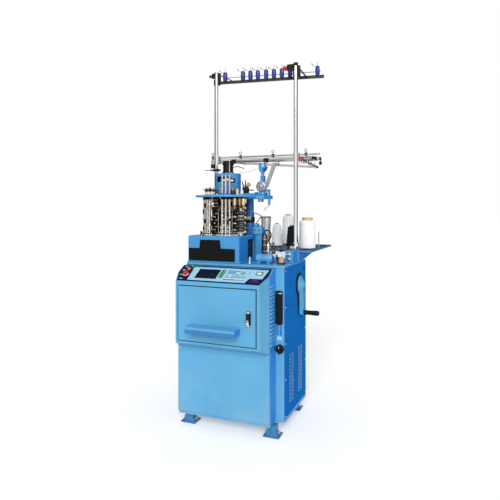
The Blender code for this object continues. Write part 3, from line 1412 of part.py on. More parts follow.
def pole_clamps(name, carrier, low, high, back):
    """Blocks that hold a bar behind both poles, hollowed to fit them, from one height to another."""
    poles = (("left", POLE_LEFT_X), ("right", POLE_RIGHT_X))
    for side, x in poles:
        corner = (x - CLAMP_HALF, POLE_Y - CLAMP_AHEAD, low)
        fuse(carrier, box(f"{name}_clamp_{side}", corner, (x + CLAMP_HALF, back, high)))
    for side, x in poles:
        place = (x, POLE_Y, 0.0)
        cut(carrier, rod(f"{name}_bore_{side}", POLE_BORE, low - REACH, high + REACH, place, steps=POLE_SIDES))


def make_poles():
    crown = [(0.0, POLE_TOP), (POLE_CROWN, POLE_TOP), (POLE_RADIUS, POLE_TOP - POLE_EDGE)]
    base = HEAD_TOP + SEAT
    collar = base + COLLAR_HEIGHT
    foot = [(POLE_RADIUS, collar), (COLLAR_RADIUS, collar), (COLLAR_RADIUS, base), (0.0, base)]
    turned("pole_left", crown + foot, (POLE_LEFT_X, POLE_Y, 0.0), STEEL, steps=POLE_SIDES)
    base = DECK_TOP + SEAT
    foot = [(POLE_RADIUS, base), (0.0, base)]
    turned("pole_right", crown + foot, (POLE_RIGHT_X, POLE_Y, 0.0), STEEL, steps=POLE_SIDES)
    top = base + LUG_HEIGHT
    back = POLE_Y + LUG_BEHIND
    lug = [(LUG_FRONT, base), (back, base)]
    lug += arc((back - LUG_ROUND_BACK, top - LUG_ROUND_BACK), LUG_ROUND_BACK, 0, 90, 4)
    lug += arc((LUG_FRONT + LUG_ROUND_FRONT, top - LUG_ROUND_FRONT), LUG_ROUND_FRONT, 90, 180, 5)
    bracket = plate("pole_bracket", lug, LUG_WIDTH, (RIGHT - LUG_IN, 0.0, 0.0), LIGHT_BLUE, SIDE_ON)
    place = (POLE_RIGHT_X, POLE_Y, DECK_TOP)
    cut(bracket, rod("bracket_bore", POLE_BORE, -REACH, LUG_HEIGHT + REACH, place, steps=POLE_SIDES))


def make_creel():
    start = Vector((POLE_LEFT_X, CREEL_Y, CREEL_Z))
    low = start + Vector((-CREEL_START, -CREEL_DEPTH / 2, -CREEL_HALF))
    high = start + Vector((CREEL_LENGTH, CREEL_DEPTH / 2, CREEL_HALF))
    bar = box("creel_bar", low, high, BLACK_METAL, start)
    bar.rotation_euler = (0.0, 0.0, CREEL_TURN)
    for number, along in enumerate(UNIT_PLACES, start=1):
        low = start + Vector((along - UNIT_HALF, -UNIT_DEPTH / 2, UNIT_LOW))
        high = start + Vector((along + UNIT_HALF, UNIT_DEPTH / 2, UNIT_HIGH))
        unit = box(f"tension_unit_{number}", low, high, None, start)
        unit.rotation_euler = bar.rotation_euler
        fuse(bar, unit)
    bar_y = CREEL_Y + (POLE_RIGHT_X - POLE_LEFT_X) * math.tan(CREEL_TURN)
    arm = box(
        "creel_arm",
        (POLE_RIGHT_X - CREEL_ARM, BAR_PLANE, CREEL_Z - CREEL_ARM),
        (POLE_RIGHT_X + CREEL_ARM, bar_y, CREEL_Z + CREEL_ARM),
    )
    fuse(bar, arm)
    pole_clamps("creel", bar, CREEL_Z - CREEL_CLAMP, CREEL_Z + CREEL_CLAMP, CREEL_Y)

    right = POLE_RIGHT_X - POLE_RADIUS - SEAT
    left = right - LAMP_WIDTH
    low = POLE_TOP - LAMP_DROP
    corner = (right, POLE_Y + LAMP_HALF, low + LAMP_HEIGHT)
    lamp = box("alarm_lamp", (left, POLE_Y - LAMP_HALF, low), corner, BLACK)
    lens = [
        (0.0, LENS_LENGTH),
        (LENS_RADIUS - LENS_EDGE, LENS_LENGTH),
        (LENS_RADIUS, LENS_LENGTH - LENS_EDGE),
        (LENS_RADIUS, -LENS_SINK),
        (0.0, -LENS_SINK),
    ]
    place = (left, POLE_Y, low + LAMP_HEIGHT / 2)
    fuse(lamp, turned("lamp_lens", lens, place, turn=TO_LEFT, steps=16))


def make_guide():
    left = POLE_LEFT_X - GUIDE_OUT_LEFT
    right = POLE_RIGHT_X + GUIDE_OUT_RIGHT
    rail = tube("guide_frame", [(left, GUIDE_Y, GUIDE_Z), (right, GUIDE_Y, GUIDE_Z)], GUIDE_RADIUS, STEEL)
    thin_y = BAR_PLANE + GUIDE_THIN
    thin_z = GUIDE_Z + GUIDE_LIFT
    fuse(rail, tube("guide_thin_tube", [(left, thin_y, thin_z), (right, thin_y, thin_z)], GUIDE_THIN))
    arm_x = POLE_RIGHT_X + GUIDE_ARM_OUT
    end = (arm_x - GUIDE_ARM_SWAY, GUIDE_BACK, GUIDE_Z - GUIDE_SAG)
    fuse(rail, tube("guide_arm", [(arm_x, GUIDE_Y, GUIDE_Z), end], GUIDE_ARM))
    fuse(rail, tube("guide_brace", [(POLE_LEFT_X + GUIDE_BRACE_IN, GUIDE_Y, GUIDE_Z), end], GUIDE_ARM))
    low = GUIDE_Z - GUIDE_CLAMP_LOW
    high = thin_z + GUIDE_CLAMP_HIGH
    pole_clamps("guide", rail, low, high, BAR_PLANE + GUIDE_CLAMP_DEPTH)


def make_table():
    low = (TABLE_LEFT, TABLE_FRONT, TABLE_UNDER)
    table = box("yarn_table", low, (TABLE_RIGHT, TABLE_BACK, TABLE_TOP), TABLE_PAINT)
    buried = TABLE_UNDER + TABLE_SINK
    for number, x in enumerate(TABLE_FEET, start=1):
        foot_low = (x - TABLE_FOOT_HALF, TABLE_FRONT + TABLE_FOOT_IN, DECK_TOP + SEAT)
        foot_high = (x + TABLE_FOOT_HALF, BACK - TABLE_FOOT_IN, buried)
        fuse(table, box(f"table_foot_{number}", foot_low, foot_high))
    hem = DECK_TOP + GUSSET_CLEAR
    brace = [
        (TABLE_FRONT + GUSSET_FRONT, buried),
        (TABLE_BACK - GUSSET_SHORT, buried),
        (BACK + GUSSET_OUT, hem),
        (TABLE_FRONT + GUSSET_FRONT, hem),
    ]
    fuse(table, plate("table_gusset", brace, GUSSET_THICK, (RIGHT - GUSSET_IN, 0.0, 0.0), turn=SIDE_ON))
    places = [SPARE_SPINDLE]
    places += [(x, y) for x, y, *_ in PACKAGES.values()]
    for number, (x, y) in enumerate(places, start=1):
        place = (x, y, TABLE_TOP)
        fuse(table, rod(f"spindle_{number}", SPINDLE_RADIUS, -SPINDLE_SINK, SPINDLE_HEIGHT, place, steps=10))

    yarns = {"yarn_cone_black": YARN_BLACK, "yarn_can_grey": YARN_GREY}
    bore = SPINDLE_RADIUS + RUN
    roof = SPINDLE_HEIGHT + SPINDLE_SPARE
    for name, (x, y, foot, top, height) in PACKAGES.items():
        neck = height - NECK_HEIGHT
        profile = [
            (0.0, height),
            (TUBE_NECK, height),
            (TUBE_NECK, neck),
            (top - SHOULDER, neck),
            (top, neck - SHOULDER),
            (foot, FOOT_GAP + FOOT_ROUND),
            (foot - FOOT_BEVEL, FOOT_GAP),
            (TUBE_FOOT, FOOT_GAP),
            (TUBE_FOOT, 0.0),
            (bore, 0.0),
            (bore, roof),
            (0.0, roof),
        ]
        turned(name, profile, (x, y, TABLE_TOP + SEAT), yarns.get(name, YARN_WHITE), steps=20)


make_feet()
make_cabinet()
make_console()
make_door()
make_pillar()
make_crank()
make_drive()
make_head_base()
make_cylinder()
make_feeder_plate()
make_dial()
make_feeder()
make_poles()
make_creel()
make_guide()
make_table()
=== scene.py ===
import math

import bpy
import numpy as np
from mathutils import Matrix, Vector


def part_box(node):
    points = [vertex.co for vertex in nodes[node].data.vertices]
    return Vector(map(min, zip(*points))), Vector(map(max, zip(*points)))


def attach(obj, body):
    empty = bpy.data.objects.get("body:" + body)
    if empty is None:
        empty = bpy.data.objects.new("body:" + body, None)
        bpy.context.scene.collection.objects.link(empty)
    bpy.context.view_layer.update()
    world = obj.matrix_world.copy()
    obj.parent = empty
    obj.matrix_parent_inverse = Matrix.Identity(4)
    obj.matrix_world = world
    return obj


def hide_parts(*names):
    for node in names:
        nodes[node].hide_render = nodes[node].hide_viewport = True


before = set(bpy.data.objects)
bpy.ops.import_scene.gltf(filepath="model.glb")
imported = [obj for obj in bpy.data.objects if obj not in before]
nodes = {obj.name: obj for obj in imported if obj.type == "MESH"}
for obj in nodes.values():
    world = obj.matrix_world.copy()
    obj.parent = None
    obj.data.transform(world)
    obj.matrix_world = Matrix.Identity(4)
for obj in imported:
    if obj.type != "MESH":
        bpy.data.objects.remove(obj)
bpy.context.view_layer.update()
# places below are measured from the bay's right edge, the cabinet's front plane and the floor
shift = np.array([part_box("console_housing")[1].x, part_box("front_pillar")[0].y, 0.0])
print("frame loaded:", len(nodes), "nodes")


# lowest and highest corner of a node, in the machine's own measures
def boxOf(node):
    low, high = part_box(node)
    return np.array(low) - shift, np.array(high) - shift


# quads of a rows by cols grid of points, as point numbers; columns run round, rows run along
def gridFaces(rows, cols, wrapRows=False, wrapCols=True):
    i = np.arange(rows if wrapRows else rows - 1)[:, None]
    j = np.arange(cols if wrapCols else cols - 1)[None, :]
    nextI, nextJ = (i + 1) % rows, (j + 1) % cols
    corners = [i * cols + j, i * cols + nextJ, nextI * cols + nextJ, nextI * cols + j]
    return np.stack(np.broadcast_arrays(*corners), -1).reshape(-1, 4)


# a part is its points, its faces' point numbers in one row, and each face's count of points
def shell(points, quads, caps=()):
    loops = np.concatenate([quads.ravel(), *caps]).astype(np.int32)
    sizes = np.array([4] * len(quads) + [len(cap) for cap in caps], np.int32)
    return {"points": np.asarray(points, float).reshape(-1, 3), "loops": loops, "sizes": sizes}


# rows of ring points joined along their length, with a flat face on the first and the last ring
def lofted(rings, closed=False):
    rings = np.asarray(rings, float)
    rows, cols = rings.shape[:2]
    ends = () if closed else (np.arange(cols)[::-1], (rows - 1) * cols + np.arange(cols))
    return shell(rings, gridFaces(rows, cols, wrapRows=closed), ends)


# radius and height rows carried round the z axis; ring=True joins the last row to the first
def turned(profile, sides=20, ring=False):
    rows = np.asarray(profile, float)
    loop = rows if ring else np.concatenate([[[0.0, rows[0, 1]]], rows, [[0.0, rows[-1, 1]]]])
    after = np.roll(loop, -1, 0)
    if np.sum(loop[:, 0] * after[:, 1] - after[:, 0] * loop[:, 1]) < 0:
        rows = rows[::-1]
    angle = np.arange(sides) * (2 * np.pi / sides)
    across = rows[:, :1] * np.cos(angle)
    along = rows[:, :1] * np.sin(angle)
    return lofted(np.stack([across, along, np.broadcast_to(rows[:, 1:], across.shape)], -1), ring)


# a circle, of one radius or one for each point, carried along a path; its start leans to one fixed way
def swept(path, radius, sides=8):
    path = np.asarray(path, float)
    ahead = np.gradient(path, axis=0)
    ahead = ahead / np.linalg.norm(ahead, axis=1, keepdims=True)
    ways = np.array(
        [[1, 0, 0], [0, 1, 0], [0, 0, 1], [0.6, 0.6, 0.53], [0.6, -0.6, 0.53], [-0.3, 0.5, 0.81]]
    )
    lean = ways[np.argmin(np.abs(ahead @ ways.T).max(0))]
    side = lean - ahead * (ahead @ lean)[:, None]
    side = side / np.linalg.norm(side, axis=1, keepdims=True)
    up = np.cross(ahead, side)
    angle = (np.arange(sides) * (2 * np.pi / sides))[None, :, None]
    wide = np.broadcast_to(np.asarray(radius, float).reshape(-1, 1, 1), (len(path), 1, 1))
    return lofted(path[:, None] + wide * (np.cos(angle) * side[:, None] + np.sin(angle) * up[:, None]))


# corner cutting: each stretch keeps its points at a quarter and at three quarters, and the two ends stay
def eased(corners, rounds=3):
    path = np.asarray(corners, float)
    for _ in range(rounds):
        a, b = path[:-1], path[1:]
        cut = np.stack([0.75 * a + 0.25 * b, 0.25 * a + 0.75 * b], 1).reshape(-1, 3)
        path = np.concatenate([path[:1], cut[1:-1], path[-1:]])
    return path


# box with rounded edges: a ball's grid cut into eighths and pulled apart to the corners
def block(low, high, edge=0.001, steps=2):
    low, high = np.minimum(low, high), np.maximum(low, high)
    edge = min(edge, 0.49 * float((high - low).min()))
    middle, half = (low + high) / 2, (high - low) / 2 - edge
    quarter = np.linspace(0, np.pi / 2, steps + 1)
    turn = np.concatenate([quarter + k * np.pi / 2 for k in range(4)])[None, :]
    rise = np.concatenate([-quarter[::-1], quarter])
    rise = np.clip(rise, -1.54, 1.54)[:, None]
    signX = np.repeat([1.0, -1.0, -1.0, 1.0], steps + 1)[None, :]
    signY = np.repeat([1.0, 1.0, -1.0, -1.0], steps + 1)[None, :]
    signZ = np.repeat([-1.0, 1.0], steps + 1)[:, None]
    x = signX * half[0] + edge * np.cos(rise) * np.cos(turn)
    y = signY * half[1] + edge * np.cos(rise) * np.sin(turn)
    z = signZ * half[2] + edge * np.sin(rise) + 0 * turn
    return lofted(middle + np.stack([x, y, z], -1))


# flat outline given a thickness along z, its rims drawn in by the edge
def slab(outline, thick, edge=0.0004):
    flat = np.asarray(outline, float)
    after = np.roll(flat, -1, 0)
    if np.sum(flat[:, 0] * after[:, 1] - after[:, 0] * flat[:, 1]) < 0:
        flat = flat[::-1]
        after = np.roll(flat, -1, 0)
    step = after - flat
    step = step / np.linalg.norm(step, axis=1, keepdims=True)
    out = np.stack([step[:, 1], -step[:, 0]], -1)
    before = np.roll(out, 1, 0)
    mitre = (out + before) / (1 + np.sum(out * before, 1, keepdims=True))
    inner = flat - mitre * edge
    levels = [(inner, 0.0), (flat, edge), (flat, thick - edge), (inner, thick)]
    return lofted([np.column_stack([ring, np.full(len(ring), z)]) for ring, z in levels])


# outline of a rectangle with round corners, about its own middle
def roundRect(width, height, radius, steps=4):
    quarter = np.linspace(0, np.pi / 2, steps + 1)
    turn = np.concatenate([quarter + k * np.pi / 2 for k in range(4)])
    signX = np.repeat([1.0, -1.0, -1.0, 1.0], steps + 1)
    signY = np.repeat([1.0, 1.0, -1.0, -1.0], steps + 1)
    x = signX * (width / 2 - radius) + radius * np.cos(turn)
    y = signY * (height / 2 - radius) + radius * np.sin(turn)
    return np.column_stack([x, y])


# outline of a nut: six corners on a circle
def hexagon(radius):
    return [(radius * math.cos(k * math.pi / 3), radius * math.sin(k * math.pi / 3)) for k in range(6)]


# ring of a plain rectangular section, from its two radii and its two levels
def hoop(inner, outer, foot, top, sides):
    return turned([(inner, foot), (outer, foot), (outer, top), (inner, top)], sides, ring=True)


# ways of x and z for a part that faces front, right, left, back and up
front = ((1, 0, 0), (0, -1, 0))
right = ((0, 1, 0), (1, 0, 0))
left = ((0, -1, 0), (-1, 0, 0))
back = ((-1, 0, 0), (0, 1, 0))
upright = ((1, 0, 0), (0, 0, 1))


# a part moved to a place, its x and z turned to two given ways
def put(part, place, ways=upright):
    x, z = (np.asarray(way, float) / np.linalg.norm(way) for way in ways)
    basis = np.stack([x, np.cross(z, x), z])
    return {**part, "points": part["points"] @ basis + np.asarray(place, float)}


# one part from several
def joined(parts):
    starts = np.cumsum([0] + [len(part["points"]) for part in parts])
    return {
        "points": np.concatenate([part["points"] for part in parts]),
        "loops": np.concatenate([part["loops"] + start for part, start in zip(parts, starts)]),
        "sizes": np.concatenate([part["sizes"] for part in parts]),
    }


# the same part at several places
def repeated(part, places):
    return joined([{**part, "points": part["points"] + np.asarray(place, float)} for place in places])


# the same part turned round an upright axis by several angles, in degrees
def aroundAxis(part, angles, axis):
    middle = np.array([axis[0], axis[1], 0.0])
    copies = []
    for angle in np.radians(angles):
        spin = np.array(
            [[np.cos(angle), np.sin(angle), 0], [-np.sin(angle), np.cos(angle), 0], [0, 0, 1.0]]
        )
        copies.append({**part, "points": (part["points"] - middle) @ spin + middle})
    return joined(copies)


# a piece of the machine: each coat is a part with its finish; rides on a body, may stand for nodes
def make(name, coats, body="machine", standsFor=(), uv=None):
    whole = joined([part for part, finish in coats])
    finishes = list(dict.fromkeys(finish for part, finish in coats))
    which = np.concatenate([np.full(len(part["sizes"]), finishes.index(finish)) for part, finish in coats])
    mesh = bpy.data.meshes.new(name)
    mesh.vertices.add(len(whole["points"]))
    mesh.vertices.foreach_set("co", (whole["points"] + shift).ravel())
    mesh.loops.add(len(whole["loops"]))
    mesh.loops.foreach_set("vertex_index", whole["loops"])
    mesh.polygons.add(len(whole["sizes"]))
    starts = np.concatenate([[0], np.cumsum(whole["sizes"])[:-1]])
    mesh.polygons.foreach_set("loop_start", starts.astype(np.int32))
    mesh.polygons.foreach_set("material_index", which.astype(np.int32))
    mesh.polygons.foreach_set("use_smooth", np.ones(len(which), bool))
    for finish in finishes:
        mesh.materials.append(finish)
    mesh.update(calc_edges=True)
    if uv is not None:
        layer = mesh.uv_layers.new(name="wind")
        layer.uv.foreach_set("vector", uv[whole["loops"]].astype(np.float32).ravel())
    mesh.set_sharp_from_angle(angle=math.radians(38))
    piece = bpy.data.objects.new(name, mesh)
    bpy.context.scene.collection.objects.link(piece)
    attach(piece, body)
    if standsFor:
        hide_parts(*standsFor)


# sRGB numbers as on a screen, made linear
def shade(red, green, blue):
    value = np.array([red, green, blue]) / 255
    line = np.where(value <= 0.04045, value / 12.92, ((value + 0.055) / 1.055) ** 2.4)
    return (*[float(part) for part in line], 1.0)


# a colour times a factor, each part held at 1
def paler(colour, factor):
    return (*[min(1.0, part * factor) for part in colour[:3]], 1.0)


# new material, its node tree and its shader
def blank(name):
    made = bpy.data.materials.new(name)
    made.use_nodes = True
    return made, made.node_tree, made.node_tree.nodes["Principled BSDF"]


# node with its settings; a socket is linked where its value is another node's socket, and set elsewhere
def addNode(tree, kind, sockets=None, **settings):
    node = tree.nodes.new(kind)
    for key, value in settings.items():
        setattr(node, key, value)
    for key, value in (sockets or {}).items():
        if isinstance(value, bpy.types.NodeSocket):
            tree.links.new(value, node.inputs[key])
        else:
            node.inputs[key].default_value = value
    return node


# one step of arithmetic on one or two values
def maths(tree, operation, *values):
    return addNode(tree, "ShaderNodeMath", dict(enumerate(values)), operation=operation).outputs["Value"]


# one step of arithmetic on two vectors
def vectorMaths(tree, operation, one, other, output="Value"):
    return addNode(tree, "ShaderNodeVectorMath", {0: one, 1: other}, operation=operation).outputs[output]


# the surface's own place
def ownPlace(tree):
    return addNode(tree, "ShaderNodeTexCoord").outputs["Object"]


# the way that the surface faces
def facingWay(tree):
    return addNode(tree, "ShaderNodeNewGeometry").outputs["True Normal"]


# one axis of a place or a way
def axisOf(tree, vector, axis):
    return addNode(tree, "ShaderNodeSeparateXYZ", {"Vector": vector}).outputs[axis]


# soft noise of the surface's own place, stretched by three factors
def grain(tree, scale, detail=3.0, stretch=(1, 1, 1), rough=0.55):
    sockets = {"Vector": ownPlace(tree), "Scale": stretch}
    spot = addNode(tree, "ShaderNodeMapping", sockets).outputs["Vector"]
    sockets = {"Vector": spot, "Scale": scale, "Detail": detail, "Roughness": rough}
    return addNode(tree, "ShaderNodeTexNoise", sockets).outputs["Fac"]


# a value carried in a straight line from one range to another, and held at the ends
def ranged(tree, value, low, high, fromLow=0.3, fromHigh=0.7):
    sockets = {"Value": value, "From Min": fromLow, "From Max": fromHigh, "To Min": low, "To Max": high}
    return addNode(tree, "ShaderNodeMapRange", sockets).outputs["Result"]


# one colour where the share is 0, the other where it is 1
def mixed(tree, share, one, other):
    return addNode(tree, "ShaderNodeMix", {0: share, 6: one, 7: other}, data_type="RGBA").outputs[2]


# a value led into one of the shader's sockets
def feed(shader, socket, value):
    shader.id_data.links.new(value, shader.inputs[socket])


# fine relief from a height, over a softened normal where one is given
def roughen(shader, strength, distance, height, soft=None):
    sockets = {"Strength": strength, "Distance": distance, "Height": height}
    bump = addNode(shader.id_data, "ShaderNodeBump", sockets)
    if soft is not None:
        feed(bump, "Normal", soft)
    feed(shader, "Normal", bump.outputs["Normal"])


# share of an edge's wear: how far a rounded normal departs from the surface's own, broken up by noise
def edgeWear(tree, radius, amount):
    soft = addNode(tree, "ShaderNodeBevel", {"Radius": radius}, samples=4).outputs["Normal"]
    own = addNode(tree, "ShaderNodeNewGeometry").outputs["Normal"]
    edge = ranged(tree, vectorMaths(tree, "DOT_PRODUCT", soft, own), 1.0, 0.0, 0.75, 0.99)
    spots = ranged(tree, grain(tree, 60.0, 4.0), 0.0, amount, 0.42, 0.62)
    both = addNode(tree, "ShaderNodeMath", {0: edge, 1: spots}, operation="MULTIPLY", use_clamp=True)
    return both.outputs["Value"], soft


# baked paint: cloudy colour, orange peel, worn edges, dust low down, and a deeper colour painted as shade
# on faces that look sideways
def coated(name, colour, rough=0.34, worn=None, wear=0.5, dust=0.0, peel=0.05, gloss=0.4, deep=None):
    made, tree, shader = blank(name)
    shader.inputs["Specular IOR Level"].default_value = gloss
    cloud = ranged(tree, grain(tree, 4.0), 0.0, 1.0, 0.25, 0.75)
    tone = mixed(tree, cloud, paler(colour, 0.93), paler(colour, 1.06))
    if deep:
        # painted shade: faces that look along x take the deeper colour
        across = maths(tree, "ABSOLUTE", axisOf(tree, facingWay(tree), "X"))
        paintedShadeShare = ranged(tree, across, 0.0, 1.0, 0.955, 0.985)
        tone = mixed(tree, paintedShadeShare, tone, mixed(tree, cloud, paler(deep, 0.93), paler(deep, 1.06)))
    edge, soft = edgeWear(tree, 0.0022, wear)
    tone = mixed(tree, edge, tone, worn or paler(colour, 1.7))
    if dust:
        low = ranged(tree, axisOf(tree, ownPlace(tree), "Z"), dust, 0.0, 0.0, 0.45)
        patch = ranged(tree, grain(tree, 9.0, 5.0), 0.0, 1.0, 0.4, 0.7)
        tone = mixed(tree, maths(tree, "MULTIPLY", low, patch), tone, shade(176, 178, 176))
    feed(shader, "Base Color", tone)
    feed(shader, "Roughness", ranged(tree, grain(tree, 14.0, 4.0), rough - 0.06, rough + 0.08))
    roughen(shader, peel, 0.002, grain(tree, 420.0, 2.0), soft)
    return made


# bare or plated metal: drawn marks along one way, smudges in its gloss
def metal(name, colour, rough=0.2, stretch=(1, 1, 0.04), marks=0.03, smudge=0.82):
    made, tree, shader = blank(name)
    cloud = ranged(tree, grain(tree, 26.0, 4.0), 0.0, 1.0, 0.3, 0.7)
    feed(shader, "Base Color", mixed(tree, cloud, paler(colour, smudge), colour))
    shader.inputs["Metallic"].default_value = 1.0
    lines = grain(tree, 700.0, 2.0, stretch)
    feed(shader, "Roughness", ranged(tree, lines, rough * 0.75, rough * 1.4))
    soft = addNode(tree, "ShaderNodeBevel", {"Radius": 0.0008}, samples=4).outputs["Normal"]
    roughen(shader, marks, 0.001, lines, soft)
    return made


# moulded plastic: fine leathery grain, rubbed paler on its edges
def moulded(name, colour, rough=0.42, texture=0.10, scale=900.0, wear=0.35, gloss=0.4):
    made, tree, shader = blank(name)
    shader.inputs["Specular IOR Level"].default_value = gloss
    cloud = ranged(tree, grain(tree, 30.0), 0.0, 1.0, 0.25, 0.75)
    tone = mixed(tree, cloud, paler(colour, 0.88), paler(colour, 1.12))
    edge, soft = edgeWear(tree, 0.0012, wear)
    feed(shader, "Base Color", mixed(tree, edge, tone, paler(colour, 2.2)))
    feed(shader, "Roughness", ranged(tree, grain(tree, 55.0, 4.0), rough - 0.08, rough + 0.1))
    roughen(shader, texture, 0.001, grain(tree, scale, 2.0), soft)
    return made


# printed film and glossy sheet: a faint mottle and a very fine grain
def film(name, colour, rough=0.3, gloss=0.25):
    made, tree, shader = blank(name)
    shader.inputs["Specular IOR Level"].default_value = gloss
    cloud = ranged(tree, grain(tree, 40.0), 0.0, 1.0, 0.25, 0.75)
    feed(shader, "Base Color", mixed(tree, cloud, paler(colour, 0.94), paler(colour, 1.05)))
    feed(shader, "Roughness", ranged(tree, grain(tree, 25.0, 4.0), rough - 0.05, rough + 0.1))
    roughen(shader, 0.06, 0.0006, grain(tree, 1500.0, 2.0))
    return made


# a second colour over a finish, where the share is 1; gives the finish's shader
def overpaint(made, share, colour):
    shader = made.node_tree.nodes["Principled BSDF"]
    painted = shader.inputs["Base Color"].links[0].from_socket
    feed(shader, "Base Color", mixed(made.node_tree, share, painted, colour))
    return shader


paleWear, blueWear = shade(190, 215, 232), shade(180, 210, 230)
coverGrey, unitBlue = shade(152, 154, 158), shade(30, 50, 146)
# cabinet blue: its deep colour is painted shade on faces that look sideways
blue = coated(
    "bluePaint", shade(91, 164, 205), dust=0.3, worn=paleWear, gloss=0.3, deep=shade(38, 136, 220)
)
footBlue = coated("footBluePaint", shade(50, 118, 176), dust=0.2, worn=shade(140, 180, 212), gloss=0.2)
strutGrey = coated("strutGreyPaint", coverGrey, rough=0.4, worn=shade(200, 202, 205), gloss=0.3)
# deeper blue: paint of the column and the side hoods, and painted shade on the door shelf's lip and the
# pillar recess's bars
deepBlue = coated("deepBluePaint", shade(48, 118, 184), worn=shade(150, 190, 220))
# darker copy of the cabinet blue on the right side panel and its louvre plates: painted shade
shadedSideBlue = coated("shadedSideBluePaint", shade(26, 112, 192), worn=shade(120, 170, 215), gloss=0.0)
# head blue: its deep colour is painted shade on faces that look sideways
headBlue = coated("headBluePaint", shade(70, 145, 200), worn=blueWear, gloss=0.2, deep=shade(34, 132, 214))
midBlue = coated("midBluePaint", shade(72, 150, 210), worn=paleWear)
royal = moulded("royalBluePlastic", unitBlue, rough=0.35)
blackPaint = coated(
    "blackPaint", shade(20, 21, 23), rough=0.42, worn=shade(92, 94, 98), wear=0.5, gloss=0.2
)
blackPlastic = moulded("blackPlastic", shade(19, 19, 21), gloss=0.2)
rubber = moulded("beltRubber", shade(30, 30, 31), rough=0.7, texture=0.25, scale=500.0)
chrome = metal("chrome", shade(228, 229, 231), rough=0.1, marks=0.01, smudge=0.88)
brushed = metal("brushedSteel", shade(200, 196, 189), rough=0.26, marks=0.04)
darkSteel = metal("darkSteel", shade(92, 86, 79), rough=0.34, marks=0.05, smudge=0.7)
castAlloy = metal("castAlloy", shade(168, 170, 174), rough=0.42, stretch=(1, 1, 1), marks=0.12)
brass = metal("brass", shade(206, 170, 96), rough=0.24)
rustRed = moulded("rustRedPlastic", shade(150, 70, 62), rough=0.4)
paleBrass = metal("paleBrass", shade(240, 220, 180), rough=0.18)
copper = metal("copper", shade(196, 124, 84), rough=0.26)
cream = moulded("creamPlastic", shade(226, 208, 168), rough=0.4)
redPlastic = moulded("redPlastic", shade(196, 26, 32), rough=0.3)
orangePlastic = moulded("orangePlastic", shade(226, 120, 34), rough=0.3)
greenPlastic = moulded("greenPlastic", shade(30, 150, 72), rough=0.3)
greyPlastic = moulded("greyPlastic", shade(150, 154, 158), rough=0.4)
whitePlastic = moulded("whitePlastic", shade(232, 234, 238), rough=0.35)
paleFilm = film("paleFilm", shade(160, 208, 234))
navyFilm = film("navyFilm", shade(17, 18, 66), gloss=0.12)
glassFilm = film("displayGlass", shade(8, 24, 42), rough=0.12, gloss=0.06)
panelFilm = film("panelGloss", shade(7, 7, 8), rough=0.16, gloss=0.12)
print("finishes mixed:", len(bpy.data.materials))


# a finish given to nodes that stay as they are, their names in one text
def finishNodes(finish, names):
    for name in names.split():
        for place in nodes[name].material_slots:
            place.material = finish


nodeFinish = {
    blue: (
        "floor_pan left_side_panel rear_cover front_pillar lower_front_panel deck_plate "
        "console_housing door_panel door_shelf crank_arm"
    ),
    footBlue: "foot_front_left foot_front_right foot_rear_left foot_rear_right",
    shadedSideBlue: "right_side_panel",
    headBlue: "head_base dial_housing pole_bracket",
    deepBlue: "support_column",
    navyFilm: "console_fascia",
    chrome: "pole_left pole_right yarn_finger_1 yarn_finger_2",
    brushed: "guide_frame needle_cylinder dial fabric_tube",
    darkSteel: "cam_bed driven_pulley motor_pulley sinker_ring",
    blackPaint: "crank_bearing latch_body selector_block_1 selector_block_2 selector_block_3",
    blackPlastic: "slot_liner main_switch_knob latch_lever crank_grip dial_motor alarm_lamp",
    panelFilm: "name_panel",
    castAlloy: "drive_motor control_box feeder_wheel",
    rubber: "drive_belt",
    redPlastic: "emergency_stop",
    orangePlastic: "stop_button",
    greenPlastic: "start_button",
}
for finish, names in nodeFinish.items():
    finishNodes(finish, names)


# blue plate whose posts, which stand clear of it above and below, are plated
def plateAndPosts(name, colour, middle, half):
    made = coated(name, colour, worn=paleWear)
    tree = made.node_tree
    away = maths(tree, "ABSOLUTE", maths(tree, "SUBTRACT", axisOf(tree, ownPlace(tree), "Z"), middle))
    post = maths(tree, "GREATER_THAN", away, half)
    shader = overpaint(made, post, shade(214, 208, 200))
    feed(shader, "Metallic", post)
    feed(shader, "Roughness", ranged(tree, post, 0.34, 0.10, 0.0, 1.0))
    return made


# feeder stand: grey paint on the slanted strut, found by its distance from the strut's middle line
def strutFinish(name, foot, way, half):
    # its deep colour is painted shade on faces that look sideways
    made = coated(name, shade(66, 142, 200), worn=blueWear, gloss=0.2, deep=shade(40, 124, 198))
    tree = made.node_tree
    across = (way[1], 0.0, -way[0])
    place = vectorMaths(tree, "SUBTRACT", ownPlace(tree), foot, "Vector")
    away = maths(tree, "ABSOLUTE", vectorMaths(tree, "DOT_PRODUCT", place, across))
    near = maths(tree, "LESS_THAN", away, half)
    above = maths(tree, "GREATER_THAN", axisOf(tree, place, "Z"), 0.0)
    overpaint(made, maths(tree, "MULTIPLY", near, above), coverGrey)
    return made


# creel bar: black paint up to the bar's top, the tension units' blue above it
def barFinish(name, level):
    made = coated(name, shade(30, 30, 32), worn=shade(90, 90, 92), gloss=0.3)
    tree = made.node_tree
    overpaint(made, maths(tree, "GREATER_THAN", axisOf(tree, ownPlace(tree), "Z"), level), unitBlue)
    return made


# yarn table: dark top, bright paint on its rim and under it, plated spindles above a level
def tableFinish(name, top, under, level, spindle):
    made = coated(name, top, rough=0.4, worn=shade(120, 140, 165), gloss=0.06)
    tree = made.node_tree
    overpaint(made, maths(tree, "LESS_THAN", axisOf(tree, facingWay(tree), "Z"), 0.5), under)
    tall = maths(tree, "GREATER_THAN", axisOf(tree, ownPlace(tree), "Z"), level)
    feed(overpaint(made, tall, spindle), "Metallic", tall)
    return made


